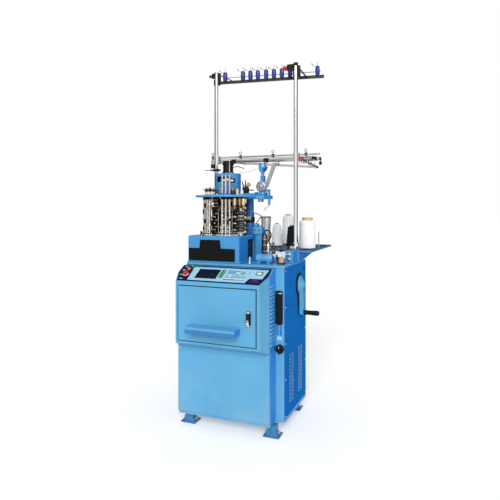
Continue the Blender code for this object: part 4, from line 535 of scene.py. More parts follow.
strut = dict(foot=(-0.1461, 0.2359, 1.4300), way=(0.3650, 0.9310), half=0.0105)
strutFoot = tuple(np.array(strut["foot"]) + shift)
finishNodes(strutFinish("standPaint", strutFoot, strut["way"], strut["half"]), "feeder_body")
finishNodes(barFinish("barPaint", 2.1592), "creel_bar")
finishNodes(plateAndPosts("platePaint", shade(66, 148, 212), 1.374, 0.0188), "feeder_plate")
tablePaint = tableFinish("tablePaint", shade(46, 58, 78), shade(60, 136, 206), 1.0304, shade(210, 212, 216))
finishNodes(tablePaint, "yarn_table")
print("nodes finished")


# yarn packages: a tapered body whose radius rises and falls with two crossing helices, on a paper tube
yarnWhite = (246, 247, 250)
packages = {
    "yarn_spool_white": dict(
        body="spool", foot=0.0545, top=0.0545, height=0.208, neck=0.0350, proud=0.020, round=0.012,
        colour=yarnWhite, tube=(205, 176, 124)),
    "yarn_cone_black": dict(
        body="cone_black", foot=0.045, top=0.033, height=0.150, neck=0.0180, proud=0.008, round=0.005,
        colour=(28, 25, 30), tube=(44, 42, 44)),
    "yarn_cone_large": dict(
        body="cone_large", foot=0.0525, top=0.040, height=0.222, neck=0.0200, proud=0.006, round=0.014,
        colour=yarnWhite, tube=(92, 86, 86)),
    "yarn_cone_small": dict(
        body="cone_small", foot=0.0425, top=0.030, height=0.162, neck=0.0150, proud=0.006, round=0.014,
        colour=yarnWhite, tube=(136, 126, 102)),
}
winding = dict(rows=96, sides=128, start=0.007, sunk=0.0012, ridge=0.0007, sway=0.0005)
paperTube = dict(foot=0.021, wall=0.015, bore=0.0060, thick=0.0030)


# wound yarn: fine strands that cross at two slants, from the piece's own map, with a soft nap
def woundFinish(name, colour):
    made, tree, shader = blank(name)
    spot = addNode(tree, "ShaderNodeUVMap", uv_map="wind").outputs["UV"]
    climb = maths(tree, "MULTIPLY", axisOf(tree, spot, "Y"), 900.0)
    strands = []
    for slant in (14.0, -14.0):
        around = maths(tree, "MULTIPLY", axisOf(tree, spot, "X"), slant)
        strands.append(maths(tree, "SINE", maths(tree, "ADD", around, climb)))
    top = maths(tree, "MAXIMUM", *strands)
    fuzz = grain(tree, 900.0, 4.0)
    tone = mixed(tree, ranged(tree, top, 0.0, 1.0, -0.6, 0.9), paler(colour, 0.93), paler(colour, 1.02))
    patch = ranged(tree, grain(tree, 30.0), 0.0, 0.35, 0.35, 0.7)
    feed(shader, "Base Color", mixed(tree, patch, tone, paler(colour, 0.96)))
    feed(shader, "Roughness", ranged(tree, fuzz, 0.82, 0.98))
    shader.inputs["Sheen Weight"].default_value = 0.25 if colour[0] > 0.1 else 0.02
    shader.inputs["Specular IOR Level"].default_value = 0.2
    roughen(shader, 0.5, 0.0006, maths(tree, "ADD", maths(tree, "MULTIPLY", fuzz, 0.8), top))
    return made


# body rows from the foot's rim to the neck; winding ridges ride on the sides and die out at both ends
def windPackage(node, size):
    low, high = boxOf(node)
    middle = (low + high) / 2
    base, top = low[2], low[2] + size["height"]
    turn = np.arange(winding["sides"]) * (2 * np.pi / winding["sides"])
    share = np.linspace(0, 1, winding["rows"])[:, None]
    end = top - size["proud"] - size["round"]
    level = base + winding["start"] + share * (end - base - winding["start"])
    radius = size["foot"] + (size["top"] - size["foot"]) * share
    ridge = np.maximum(np.sin(3 * turn + 110 * share), np.sin(3 * turn - 110 * share))
    sway = np.sin(turn * 2 + 7 * share) * np.sin(19 * share + 1.3)
    fade = np.clip(np.minimum(share, 1 - share) * 14, 0, 1)
    side = radius - winding["sunk"] + fade * (winding["ridge"] * ridge + winding["sway"] * sway)
    # shoulders: quarter rounds in to the tube at the foot and at the neck
    bend = np.linspace(0, np.pi / 2, 8)[1:, None]
    neck, tubeFoot, wall, bore = size["neck"], paperTube["foot"], paperTube["wall"], paperTube["bore"]
    topRows = neck - 0.001 + (side[-1] - neck + 0.001) * np.cos(bend) ** 0.8
    topLevel = level[-1] + size["round"] * np.sin(bend) + 0 * turn
    footRows = tubeFoot + (side[0] - tubeFoot) * np.cos(bend[::-1]) ** 0.7
    footLevel = level[0] - 0.003 * np.sin(bend[::-1]) + 0 * turn
    wide = np.concatenate([footRows, side, topRows])
    tall = np.concatenate([footLevel, level + 0 * turn, topLevel])
    rings = np.stack([wide * np.cos(turn), wide * np.sin(turn), tall], -1)
    yarn = put(lofted(rings), (middle[0], middle[1], 0.0))
    yarnMap = np.column_stack([np.tile(turn, len(rings)), rings[:, :, 2].ravel()])
    mouth = neck - paperTube["thick"]
    tubeRows = [
        (tubeFoot, base), (tubeFoot, base + 0.005), (wall, base + 0.007), (wall, end - 0.004), (neck, end),
        (neck, top - 0.0008), (neck - 0.0008, top), (mouth, top), (mouth, end + 0.003), (bore, end),
        (bore, base),
    ]
    core = put(turned(tubeRows, 48, ring=True), (middle[0], middle[1], 0.0))
    uv = np.concatenate([yarnMap, np.zeros((len(core["points"]), 2))])
    paper = moulded(node + "Tube", shade(*size["tube"]), rough=0.6, scale=300.0)
    finish = woundFinish(node + "Yarn", shade(*size["colour"]))
    make(node + "_wound", [(yarn, finish), (core, paper)], size["body"], (node,), uv)


for node, size in packages.items():
    windPackage(node, size)

# grey can: a drawn sheet cup, wider at the top, with two rolled beads, a dark rim and a spindle's bore
can = dict(
    node="yarn_can_grey", foot=0.0300, top=0.0375, tall=0.208, bore=0.0060, bead=0.0006,
    beads=(0.030, 0.172), floor=0.0065, colour=(236, 235, 234),
)
canLow, canHigh = boxOf(can["node"])
canPlace = ((canLow[0] + canHigh[0]) / 2, (canLow[1] + canHigh[1]) / 2, canLow[2])
canLevel = np.linspace(0.003, can["tall"] - 0.007, 48)
canWide = can["foot"] + (can["top"] - can["foot"]) * canLevel / can["tall"] - 0.0006
canWide = canWide + can["bead"] * sum(np.exp(-((canLevel - at) / 0.0022) ** 2) for at in can["beads"])
lidLevel = can["tall"] - can["floor"]
canFoot = [(can["bore"], 0.0), (can["foot"] - 0.003, 0.0)]
canRows = [*canFoot, *zip(canWide, canLevel), (0.0350, lidLevel), (can["bore"], lidLevel)]
canRim = [
    (0.0345, -0.0078), (0.0368, -0.0078), (0.0375, -0.0065), (0.0375, -0.0012), (0.0366, 0.0),
    (0.0352, 0.0), (0.0345, -0.0012),
]
rimPlace = (canPlace[0], canPlace[1], canPlace[2] + can["tall"])
canCoats = [
    (put(turned(canRows, 72, ring=True), canPlace), metal("canMetal", shade(*can["colour"]), rough=0.46)),
    (put(turned(canRim, 72, ring=True), rimPlace), darkSteel),
]
make("yarn_can_grey_shell", canCoats, "can", (can["node"],))
print("yarn wound")


# console: films and keys laid on the sloping fascia, places given across and up the slope
console = dict(front=-0.176, foot=0.874, sine=0.469613, cosine=0.882872, top=0.0034)
slopeWays = ((1, 0, 0), (0, -console["sine"], console["cosine"]))
greenFilm = film("greenFilm", shade(44, 138, 92))
paleGreenFilm = film("paleGreenFilm", shade(152, 210, 198))
keyBlue = film("keyBlue", shade(66, 124, 204))
keyWhite = film("keyWhite", shade(228, 238, 246))
keyRed = film("keyRed", shade(206, 58, 86))
keyLime = film("keyLime", shade(118, 182, 92))
keyPurple = film("keyPurple", shade(84, 76, 160))
keyOlive = film("keyOlive", shade(58, 62, 42))
keyAmber = film("keyAmber", shade(214, 176, 72))


# a part laid flat on the slope: its x runs across, its y up the slope, its z away from the fascia
def onSlope(part, across=0.0, up=0.0, above=0.0):
    lift = above + console["top"]
    depth = console["front"] + up * console["cosine"] - lift * console["sine"]
    height = console["foot"] + up * console["sine"] + lift * console["cosine"]
    return put(part, (across, depth, height), slopeWays)


# thin plate with round corners between two corners on the slope
def slopePlate(low, high, thick, above=0.0, radius=0.003):
    width, length = high[0] - low[0], high[1] - low[1]
    plate = slab(roundRect(width, length, radius), thick, 0.25 * thick)
    return onSlope(plate, (low[0] + high[0]) / 2, (low[1] + high[1]) / 2, above)


paleEdge = [
    (-0.496, 0.143), (-0.488, 0.012), (-0.126, 0.012), (-0.110, 0.054), (-0.034, 0.056), (-0.020, 0.143)
]
make("console_film", [(onSlope(slab(paleEdge, 0.0005, 0.0001)), paleFilm)])
make(
    "console_display",
    [
        (slopePlate((-0.4505, 0.0325), (-0.3135, 0.1235), 0.0012, 0.0005, 0.002), blackPlastic),
        (slopePlate((-0.4470, 0.0365), (-0.3170, 0.1195), 0.0008, 0.0014, 0.001), glassFilm),
    ],
)
make(
    "console_strip",
    [
        (slopePlate((-0.3095, 0.040), (-0.2745, 0.129), 0.0006, 0.0005), paleGreenFilm),
        (slopePlate((-0.3035, 0.046), (-0.2880, 0.123), 0.0006, 0.0011), greenFilm),
        (slopePlate((-0.2850, 0.046), (-0.2795, 0.123), 0.0006, 0.0011), keyOlive),
    ],
)

# rows of keys: first and last place across, place up the slope, count, width, height, finish
keyRows = [
    (-0.2545, -0.2145, 0.1190, 4, 0.0100, 0.0085, keyBlue),
    (-0.2545, -0.2145, 0.1065, 4, 0.0100, 0.0085, keyBlue),
    (-0.2545, -0.2145, 0.0940, 4, 0.0100, 0.0085, keyBlue),
    (-0.2020, -0.1910, 0.1150, 2, 0.0080, 0.0090, keyPurple),
    (-0.2020, -0.1910, 0.1010, 2, 0.0080, 0.0090, keyWhite),
    (-0.2020, -0.1910, 0.0820, 2, 0.0090, 0.0080, keyOlive),
    (-0.2560, -0.2190, 0.0685, 2, 0.0120, 0.0080, keyRed),
    (-0.2375, -0.2375, 0.0685, 1, 0.0120, 0.0080, keyWhite),
    (-0.2040, -0.1420, 0.0685, 5, 0.0110, 0.0080, keyLime),
    (-0.2570, -0.1430, 0.0560, 8, 0.0115, 0.0075, keyBlue),
    (-0.2570, -0.1430, 0.0450, 8, 0.0115, 0.0075, keyWhite),
    (-0.2570, -0.2080, 0.0340, 4, 0.0115, 0.0080, navyFilm),
    (-0.1920, -0.1430, 0.0340, 4, 0.0115, 0.0080, keyBlue),
]
keyCoats = []
for first, last, up, count, width, length, finish in keyRows:
    keyCap = slab(roundRect(width, length, 0.0018, 2), 0.0010, 0.0004)
    keyCoats += [
        (onSlope(keyCap, across, up, 0.0005), finish) for across in np.linspace(first, last, count)
    ]
# four arrows round an amber key, and a thin bar right of them
arrows = dict(across=-0.1645, up=0.1010, above=0.0005)
arrow = slab([(-0.0055, 0.007), (0.0055, 0.007), (0.0, 0.017)], 0.0010, 0.0003)
for turn in range(4):
    keyCoats.append((onSlope(aroundAxis(arrow, [90 * turn], (0, 0)), **arrows), keyOlive))
amberCap = turned([(0.0052, 0), (0.0052, 0.0006), (0.0040, 0.0011)], 16)
keyCoats.append((onSlope(amberCap, **arrows), keyAmber))
keyCoats.append((slopePlate((-0.1290, 0.098), (-0.1262, 0.119), 0.0007, 0.0005, 0.0012), navyFilm))
make("console_keys", keyCoats)

# plain label strips by the push buttons, and a green frame with two strips on the right
labels = [
    (-0.5525, 0.1410, 0.016), (-0.5520, 0.1040, 0.016), (-0.5505, 0.0600, 0.013), (-0.5330, 0.0210, 0.024)
]
labelCoats = []
for across, up, width in labels:
    strip = slopePlate((across - width / 2, up - 0.003), (across + width / 2, up + 0.003), 0.0005)
    labelCoats.append((strip, keyWhite))
labelCoats += [
    (slopePlate((-0.5010, 0.1170), (-0.4975, 0.1330), 0.0005), keyWhite),
    (slopePlate((-0.0870, 0.0880), (-0.0450, 0.1240), 0.0005, 0.0005, 0.006), greenFilm),
    (slopePlate((-0.0790, 0.0960), (-0.0530, 0.1160), 0.0005, 0.0009, 0.004), keyWhite),
    (slopePlate((-0.0860, 0.0380), (-0.0560, 0.0430), 0.0005), keyRed),
    (slopePlate((-0.1010, 0.0240), (-0.0450, 0.0270), 0.0005, 0.0, 0.001), keyPurple),
]
make("console_labels", labelCoats)
print("console laid:", len(keyCoats), "keys")


# pressed louvre: its depth swells along the width as a half ellipse and falls to nothing up its height
def louvreHood(width, height, depth, rows=11, steps=5):
    along = np.linspace(-1.0, 1.0, rows)[:, None]
    swell = depth * (0.12 + 0.88 * np.sqrt(1 - along**2) ** 0.6)
    turn = np.linspace(0, np.pi / 2, steps)[None, :]
    up = np.concatenate([np.zeros((rows, 1)), height * np.cos(turn) + 0 * along], 1)
    out = np.concatenate([np.zeros((rows, 1)), swell * np.sin(turn)], 1)
    return lofted(np.stack([along * width / 2 + 0 * up, up, out], -1))


# hoods stand over the slots of the console's cheek, of both side panels and of the rear cover
hoods = dict(
    cheek=dict(x=0.0, y=-0.046, foot=0.522, pitch=0.022, count=16, width=0.060, height=0.014, depth=0.0055),
    side=dict(
        columns=(0.130, 0.310), foot=0.157, pitch=0.0206, count=14, width=0.080, height=0.0105, depth=0.0042
    ),
    rear=dict(
        columns=(-0.400, -0.130), foot=0.153, pitch=0.033, count=10, width=0.084, height=0.019, depth=0.008
    ),
    plate=dict(width=0.096, foot=0.140, top=0.488, thick=0.0010), drop=0.0015, proud=0.0002,
)


# one hood and the levels of its column, from a row of the dictionary above
def hoodColumn(size, drop=0.0):
    hood = louvreHood(size["width"], size["height"], size["depth"])
    return hood, size["foot"] - drop + np.arange(size["count"]) * size["pitch"]


cheek, side, rear, insert = hoods["cheek"], hoods["side"], hoods["rear"], hoods["plate"]
rightEdge, leftEdge = boxOf("right_side_panel")[1][0], boxOf("left_side_panel")[0][0]
backEdge = boxOf("rear_cover")[1][1]
# painted highlight: a small pale dot stands for the glint on a hood's near end
glintDot = turned([(0.0026, 0), (0.0024, 0.0016), (0.0014, 0.0024), (0.0006, 0.0026)], 10)
hood, levels = hoodColumn(cheek, hoods["drop"])
cheekHood = put(hood, (cheek["x"] + hoods["proud"], cheek["y"], 0), right)
cheekGlint = put(glintDot, (cheek["x"], cheek["y"] - 0.0350, 0), right)
cheekCoats = [
    (repeated(cheekHood, [(0, 0, level) for level in levels]), midBlue),
    (repeated(cheekGlint, [(0, 0, level + 0.004) for level in levels]), whitePlastic),
]
make("cheek_louvres", cheekCoats)
# side louvres on an insert plate, with a pale dot at each hood's near end as a painted highlight
hood, levels = hoodColumn(side)
insertPlate = slab(
    roundRect(insert["width"], insert["top"] - insert["foot"], 0.006), insert["thick"], 0.0003
)
insertMiddle = (insert["foot"] + insert["top"]) / 2
places = [(0, column, level) for column in side["columns"] for level in levels]
glints = [(0, y - side["width"] / 2 + 0.002, level + 0.003) for _, y, level in places]
for name, edge, way, paint in (
    ("right_louvres", rightEdge, right, shadedSideBlue), ("left_louvres", leftEdge, left, blue)
):
    face = np.array([edge, 0, 0]) + np.array(way[1]) * insert["thick"]
    plate = put(insertPlate, (edge, 0, insertMiddle), way)
    sideCoats = [
        (repeated(plate, [(0, column, 0) for column in side["columns"]]), paint),
        (repeated(put(hood, face, way), places), deepBlue),
        (repeated(put(glintDot, face, way), glints), paleFilm),
    ]
    make(name, sideCoats)
hood, levels = hoodColumn(rear, hoods["drop"])
places = [(column, 0, level) for column in rear["columns"] for level in levels]
rearHood = put(hood, (0, backEdge + hoods["proud"], 0), back)
make("rear_louvres", [(repeated(rearHood, places), blue)])

# button-head screws with a socket, on the cabinet's sheets
screwHead = turned(
    [(0.0050, 0.0), (0.0050, 0.0012), (0.0040, 0.0026), (0.0022, 0.0030), (0.0020, 0.0012)], 14
)


# two columns of screws down a sheet's face: the way it faces, its width's axis, the inset and the count
def screwsOn(node, way, across, inset, count):
    low, high = boxOf(node)
    far = {front: low[1], back: high[1], right: high[0], left: low[0]}[way]
    spots = []
    for place in (low[across] + inset, high[across] - inset):
        for level in np.linspace(low[2] + inset, high[2] - inset, count):
            spots.append((place, far, level) if across == 0 else (far, place, level))
    return repeated(put(screwHead, (0, 0, 0), way), spots)


sheetScrews = [
    screwsOn("right_side_panel", right, 1, 0.014, 5),
    screwsOn("left_side_panel", left, 1, 0.014, 5),
    screwsOn("rear_cover", back, 0, 0.014, 5),
    screwsOn("lower_front_panel", front, 0, 0.012, 3),
]
make("cabinet_screws", [(joined(sheetScrews), brushed)])

# plugs and a breather on the right side, beside the crank: depth, height, whether large, finish
plugs = [
    (0.403, 0.905, True, blackPlastic),
    (0.403, 0.807, True, blackPlastic),
    (0.403, 0.758, False, whitePlastic),
    (0.114, 0.723, False, blackPlastic),
]
plug = turned([(0.012, 0), (0.012, 0.0012), (0.0105, 0.0026), (0.006, 0.0032), (0.002, 0.0034)], 20)
smallPlug = turned([(0.0055, 0), (0.0055, 0.0014), (0.004, 0.0028), (0.001, 0.0032)], 14)
plugCoats = []
for depth, level, large, finish in plugs:
    plugCoats.append((put(plug if large else smallPlug, (rightEdge, depth, level), right), finish))
make("side_plugs", plugCoats)


# outline of two half circles of different radii joined by straight flanks
def capsule(start, end, startRadius, endRadius, steps=16):
    start, end = np.asarray(start, float), np.asarray(end, float)
    tilt = math.atan2(*(end - start)[::-1])
    half = np.linspace(np.pi / 2, 3 * np.pi / 2, steps) + tilt
    ring = np.column_stack([np.cos(half), np.sin(half)])
    return np.concatenate([start + startRadius * ring, end - endRadius * ring])


# hand crank: a black plate behind the arm, following its outline as a painted shadow along the arm's edge,
# and a washer, a nut and a stud's end on its shaft
crank = dict(
    axis=(0.290, 0.823), grip=(0.290, 0.648), back=0.0607, thick=0.0034, hub=0.0600, tip=0.0200,
    nut=0.011, nutTall=0.008,
)
# painted shadow: the black plate shows as a dark band round the hub and beside the arm
shadePlate = slab(capsule(crank["axis"], crank["grip"], crank["hub"], crank["tip"]), crank["thick"], 0.0008)
hexNut = slab(hexagon(crank["nut"]), crank["nutTall"], 0.0012)
washer = turned([(0.0145, 0), (0.0145, 0.0016), (0.0135, 0.0022)], 24)
stud = turned([(0.0055, 0), (0.0055, 0.012), (0.0045, 0.013)], 16)
shaftEnd = boxOf("crank_grip")[0][0] - 0.0005
crankCoats = [
    (put(shadePlate, (crank["back"], 0, 0), right), blackPaint),
    (put(washer, (shaftEnd, *crank["axis"]), right), chrome),
    (put(hexNut, (shaftEnd + 0.002, *crank["axis"]), right), chrome),
    (put(stud, (shaftEnd + 0.002, *crank["axis"]), right), brushed),
]
make("crank_trim", crankCoats, "crank")

# main switch: a pale pointer on the knob
knobLow, knobHigh = boxOf("main_switch_knob")
knobMiddle = (knobLow + knobHigh) / 2
pointer = block((-0.0016, 0.006, 0.0), (0.0016, 0.020, 0.0006), 0.0004, 1)
pointerPlace = (knobMiddle[0], knobLow[1] + 0.0001, knobMiddle[2])
make("switch_pointer", [(put(pointer, pointerPlace, front), whitePlastic)], "switch")

# recess in the pillar: bright rail at its top, and below it two deep-blue bars of painted shadow and a pale
# catch
recess = dict(
    inset=0.005, railFoot=0.017, railTop=0.012, shadeBars=(-0.0115, 0.0095), shadeBarWide=0.012, shadeBarFoot=0.5680,
    shadeBarTall=0.055, catchWide=0.028, catchTop=0.5600, catchTall=0.022,
)
linerLow, linerHigh = boxOf("slot_liner")
middleX = (linerLow[0] + linerHigh[0]) / 2
railLow = (linerLow[0] + recess["inset"], -0.0100, linerHigh[2] - recess["railFoot"])
railHigh = (linerHigh[0] - recess["inset"], -0.0040, linerHigh[2] - recess["railTop"])
recessCoats = [(block(railLow, railHigh, 0.0015), chrome)]
# painted shadow: deep-blue bars stand for dark stripes of shade below the recess
for offset in recess["shadeBars"]:
    corner = np.array([middleX + offset - recess["shadeBarWide"] / 2, -0.0030, recess["shadeBarFoot"]])
    shadeBar = block(corner, corner + (recess["shadeBarWide"], 0.0030, recess["shadeBarTall"]), 0.0012)
    recessCoats.append((shadeBar, deepBlue))
corner = np.array([middleX - recess["catchWide"] / 2, -0.0036, recess["catchTop"] - recess["catchTall"]])
catch = block(corner, corner + (recess["catchWide"], 0.0036, recess["catchTall"]), 0.0015)
recessCoats.append((catch, paleFilm))
make("pillar_trim", recessCoats)

# latch: plated blocks above and below the lever in a dark plate, rivets, and a plated end on the lever
latch = dict(
    half=0.0085, proud=0.0050, blocks=((0.7183, 0.7265), (0.6475, 0.6555)), rivetX=0.0112, rivetZ=0.004
)
latchLow, latchHigh = boxOf("latch_body")
leverLow = boxOf("latch_lever")[0]
latchX = (latchLow[0] + latchHigh[0]) / 2
latchBlocks = []
for foot, top in latch["blocks"]:
    low = (latchX - latch["half"], latchLow[1] - latch["proud"], foot)
    latchBlocks.append(block(low, (latchX + latch["half"], latchLow[1] + 0.0002, top), 0.0012))
latchCoats = [(joined(latchBlocks), chrome)]
rivet = turned([(0.0022, 0), (0.0020, 0.0008), (0.0008, 0.0012)], 10)
for offset in (-latch["rivetX"], latch["rivetX"]):
    for level in (latchLow[2] + latch["rivetZ"], latchHigh[2] - latch["rivetZ"]):
        latchCoats.append((put(rivet, (latchX + offset, latchLow[1], level), front), chrome))
make("latch_trim", latchCoats, "door")
plateLow = (latchX - 0.0080, leverLow[1] - 0.0012, leverLow[2] + 0.002)
endPlate = block(plateLow, (latchX + 0.0080, leverLow[1] + 0.0004, leverLow[2] + 0.013), 0.0005, 1)
ringRows = [(0.0028, 0), (0.0062, 0), (0.0066, 0.0010), (0.0058, 0.0020), (0.0032, 0.0020)]
endRing = put(turned(ringRows, 20, ring=True), (latchX, leverLow[1] + 0.0002, leverLow[2] + 0.0200), front)
make("lever_trim", [(joined([endPlate, endRing]), chrome)], "latch")

# emergency stop: a mushroom head with a ribbed rim on a pale collar
stop = dict(across=-0.522, up=0.065, ribs=24)
mushroomRows = [
    (0.0080, -0.0080), (0.0080, 0.0054), (0.0105, 0.0062), (0.0150, 0.0090), (0.0160, 0.0112),
    (0.0158, 0.0140), (0.0140, 0.0168), (0.0090, 0.0182), (0.0030, 0.0186),
]
rimRib = block((0.0150, -0.0008, 0.0092), (0.0165, 0.0008, 0.0150), 0.0003, 1)
rimRibs = aroundAxis(rimRib, np.arange(stop["ribs"]) * (360 / stop["ribs"]), (0, 0))
mushroom = onSlope(joined([turned(mushroomRows, 32), rimRibs]), stop["across"], stop["up"])
make("stop_mushroom", [(mushroom, redPlastic)], "emergency", ("emergency_stop",))
collarRows = [(0.0112, 0), (0.0174, 0), (0.0178, 0.0004), (0.0172, 0.0008), (0.0112, 0.0008)]
make("stop_collar", [(onSlope(turned(collarRows, 32, ring=True), stop["across"], stop["up"]), keyWhite)])

# door seal: a thin dark rubber frame on the housing, round the gap that the door leaves
seal = dict(wide=0.0030, gap=0.0026, face=-0.1760, proud=0.0006)
doorLow, doorHigh = boxOf("door_panel")
sealLow, sealHigh = doorLow - seal["gap"], doorHigh + seal["gap"]
sealBack, sealFront = seal["face"] + 0.0001, seal["face"] - seal["proud"]
sealFoot, sealTop = sealLow[2] - seal["wide"], sealHigh[2] + seal["wide"]
strips = []
for x in (sealLow[0] - seal["wide"], sealHigh[0]):
    strips.append(block((x, sealFront, sealFoot), (x + seal["wide"], sealBack, sealTop), 0.0002, 1))
for z in (sealFoot, sealHigh[2]):
    strips.append(block((sealLow[0], sealFront, z), (sealHigh[0], sealBack, z + seal["wide"]), 0.0002, 1))
make("door_seal", [(joined(strips), rubber)])

# door shelf: a deeper blue strip on its front lip, where it turns down into shade: painted shade
shelf = dict(inset=0.0010, foot=0.0005, tall=0.0230, proud=0.0008)
shelfLow, shelfHigh = boxOf("door_shelf")
lipLow = (shelfLow[0] + shelf["inset"], shelfLow[1] - shelf["proud"], shelfLow[2] + shelf["foot"])
lipHigh = (shelfHigh[0] - shelf["inset"], shelfLow[1] + 0.0002, shelfLow[2] + shelf["tall"])
make("shelf_lip_shade", [(block(lipLow, lipHigh, 0.0004, 1), deepBlue)], "door")
print("cabinet trimmed")


# creel: tension units on the bar, which starts at the left pole and turns a little back towards the right
creel = dict(
    start=(-0.517, 0.3062, 2.141), turn=7.6, rod=(0.035, 0.30, 0.69), rodRise=0.032, rodRadius=0.0028,
    units=(0.053, 0.1765, 0.2275, 0.278, 0.334, 0.3865, 0.439, 0.493, 0.671), coverFoot=0.0105,
    coverTop=0.0672,
)
barWay = np.array([math.cos(math.radians(creel["turn"])), math.sin(math.radians(creel["turn"])), 0.0])


# a part set on the creel bar, its x along the bar and its z up, at a distance from the left pole
def onBar(part, along=0.0):
    return put(part, np.array(creel["start"]) + barWay * along, (barWay, (0, 0, 1)))


# coil: a helix about z whose height follows the turn
def helix(radius, rise, turns, steps=14, start=0.0):
    turn = np.linspace(0, 2 * np.pi * turns, int(steps * turns) + 1)
    across, along = radius * np.cos(turn + start), radius * np.sin(turn + start)
    return np.column_stack([across, along, rise * turn / turn[-1]])


# unit body: an oval that swells to its middle and narrows to the top, its half widths following the height
def unitBody(rows=12, sides=20):
    share = np.linspace(0, 1, rows)[:, None]
    wide = 0.0122 + 0.0022 * np.sin(np.pi * share) - 0.0012 * share**3
    turn = (np.arange(sides) * (2 * np.pi / sides))[None, :]
    x = wide * np.sign(np.cos(turn)) * np.abs(np.cos(turn)) ** 0.6
    y = (wide + 0.0008) * np.sign(np.sin(turn)) * np.abs(np.sin(turn)) ** 0.6
    z = creel["coverFoot"] + share * (creel["coverTop"] - creel["coverFoot"]) + 0 * turn
    return lofted(np.stack([x, y, z], -1))


unitLip = turned([(0.0120, 0.0280), (0.0158, 0.0285), (0.0158, 0.0305), (0.0120, 0.0310)], 20)
discRows = [
    (0.0020, 0), (0.0052, 0.0010), (0.0056, 0.0018), (0.0022, 0.0030), (0.0018, 0.0052), (0.0006, 0.0056)
]
disc = turned(discRows, 14)
discs = joined([put(disc, (0.0, -0.0138, level), front) for level in (0.042, 0.055)])
topPath = [(0.0, 0, 0.064), (0.0, 0, 0.078), (0.0010, -0.001, 0.089), (0.002, 0, 0.096)]
topWire = swept(eased(topPath), 0.0013, 6)
lowPath = [
    (0.0, -0.012, 0.016), (0.0, -0.022, 0.012), (0.004, -0.026, 0.002), (0.0, -0.024, -0.004),
    (-0.004, -0.026, 0.002), (-0.001, -0.024, 0.009),
]
lowWire = swept(eased(lowPath), 0.0008, 6)
dropPath = [
    (-0.008, -0.004, 0.062), (-0.018, -0.006, 0.066), (-0.026, -0.008, 0.070), (-0.034, -0.009, 0.079)
]
dropWire = swept(eased(dropPath, 2), 0.0008, 6)
tipPath = [(-0.040, -0.010, 0.084), (-0.034, -0.009, 0.079), (-0.025, -0.008, 0.0690)]
dropTip = swept(tipPath, (0.0014, 0.0022, 0.0018), 8)
unitParts = [
    (joined([unitBody(), unitLip]), royal),
    (discs, darkSteel),
    (joined([topWire, lowWire]), darkSteel),
    (joined([dropWire, dropTip]), blackPaint),
]
unitCoats = [(onBar(part, along), finish) for along in creel["units"] for part, finish in unitParts]
make("tension_units", unitCoats)
rodPath = [(along, 0, creel["rodRise"]) for along in creel["rod"]]
make("creel_rod", [(onBar(swept(rodPath, creel["rodRadius"], 8)), greyPlastic)])

# creel fittings: black clamps behind both poles with a knob and two braces, a cap on the right pole
poleRight = (0.036, 0.285)
knobRows = [
    (0.0030, 0), (0.0030, 0.006), (0.0085, 0.008), (0.0095, 0.011), (0.0095, 0.016), (0.0070, 0.018),
    (0.002, 0.0185),
]
knobRib = block((0.0088, -0.0010, 0.0105), (0.0102, 0.0010, 0.0165), 0.0004, 1)
knob = joined([turned(knobRows, 20), aroundAxis(knobRib, np.arange(12) * 30, (0, 0))])
poleCap = turned(
    [(0.0128, -0.018), (0.0146, -0.018), (0.0146, 0.0005), (0.0130, 0.0030), (0.0040, 0.0036)], 28
)
clampParts = [
    block((-0.5600, 0.2980, 2.1740), (-0.4960, 0.3160, 2.2080), 0.003),
    block((-0.5120, 0.3000, 2.1300), (-0.4960, 0.3160, 2.1760), 0.003),
    swept([(-0.5000, 0.3080, 2.1930), (-0.4600, 0.3120, 2.1730), (-0.4120, 0.3180, 2.1480)], 0.0034, 10),
    block((0.0330, 0.2982, 2.1300), (0.0600, 0.3140, 2.2000), 0.004),
    swept([(0.0540, 0.3060, 2.1780), (0.0700, 0.3480, 2.1560), (0.0850, 0.3830, 2.1360)], 0.0046, 10),
]
creelCoats = [
    (put(knob, (-0.5600, 0.307, 2.191), left), blackPlastic),
    (joined(clampParts), blackPaint),
    (put(poleCap, (*poleRight, 2.2100)), blackPlastic),
]
make("creel_fittings", creelCoats)

# alarm lamp: ribbed red lens over the lamp's left end
lamp = dict(x=-0.0170, wide=0.0140, groove=0.0133, ribs=5, pitch=0.0048)
lensRows = [(0.0132, 0.0), (lamp["wide"], 0.001)]
for rise in lamp["pitch"] * np.arange(lamp["ribs"]):
    lensRows += [(lamp["wide"], 0.0035 + rise), (lamp["groove"], 0.0045 + rise)]
    lensRows += [(lamp["groove"], 0.0055 + rise), (lamp["wide"], 0.0065 + rise)]
lensRows += [(0.0130, 0.0292), (0.0085, 0.0312), (0.002, 0.0318)]
lampMiddle = (boxOf("alarm_lamp")[0] + boxOf("alarm_lamp")[1]) / 2
lampLens = put(turned(lensRows, 28), (lamp["x"], *lampMiddle[1:]), left)
make("lamp_lens", [(lampLens, redPlastic)])
print("creel dressed:", len(creel["units"]), "units")

# yarn guide frame: pigtail eyelets with clamps along the thin tube, sleeves on the main tube
guide = dict(
    thin=(0.3045, 1.637), main=(0.3095, 1.608), wire=0.0016, ring=0.0085,
    eyelets=(-0.551, -0.349, -0.122, 0.097),
    sleeves=(
        (-0.400, blackPlastic), (-0.170, blackPlastic), (0.066, rustRed), (0.108, castAlloy),
        (0.150, blackPlastic),
    ),
    curls=((0.052, rustRed), (0.080, rustRed), (0.094, darkSteel), (0.126, darkSteel)),
)


# a lead of wire that ends in an open eye: a helix with its axis turned to the front
def pigtail(lead, radius, rise, turns, start, middle):
    return np.concatenate([lead, helix(radius, rise, turns, 14, start)[:, [0, 2, 1]] * [1, -1, 1] + middle])


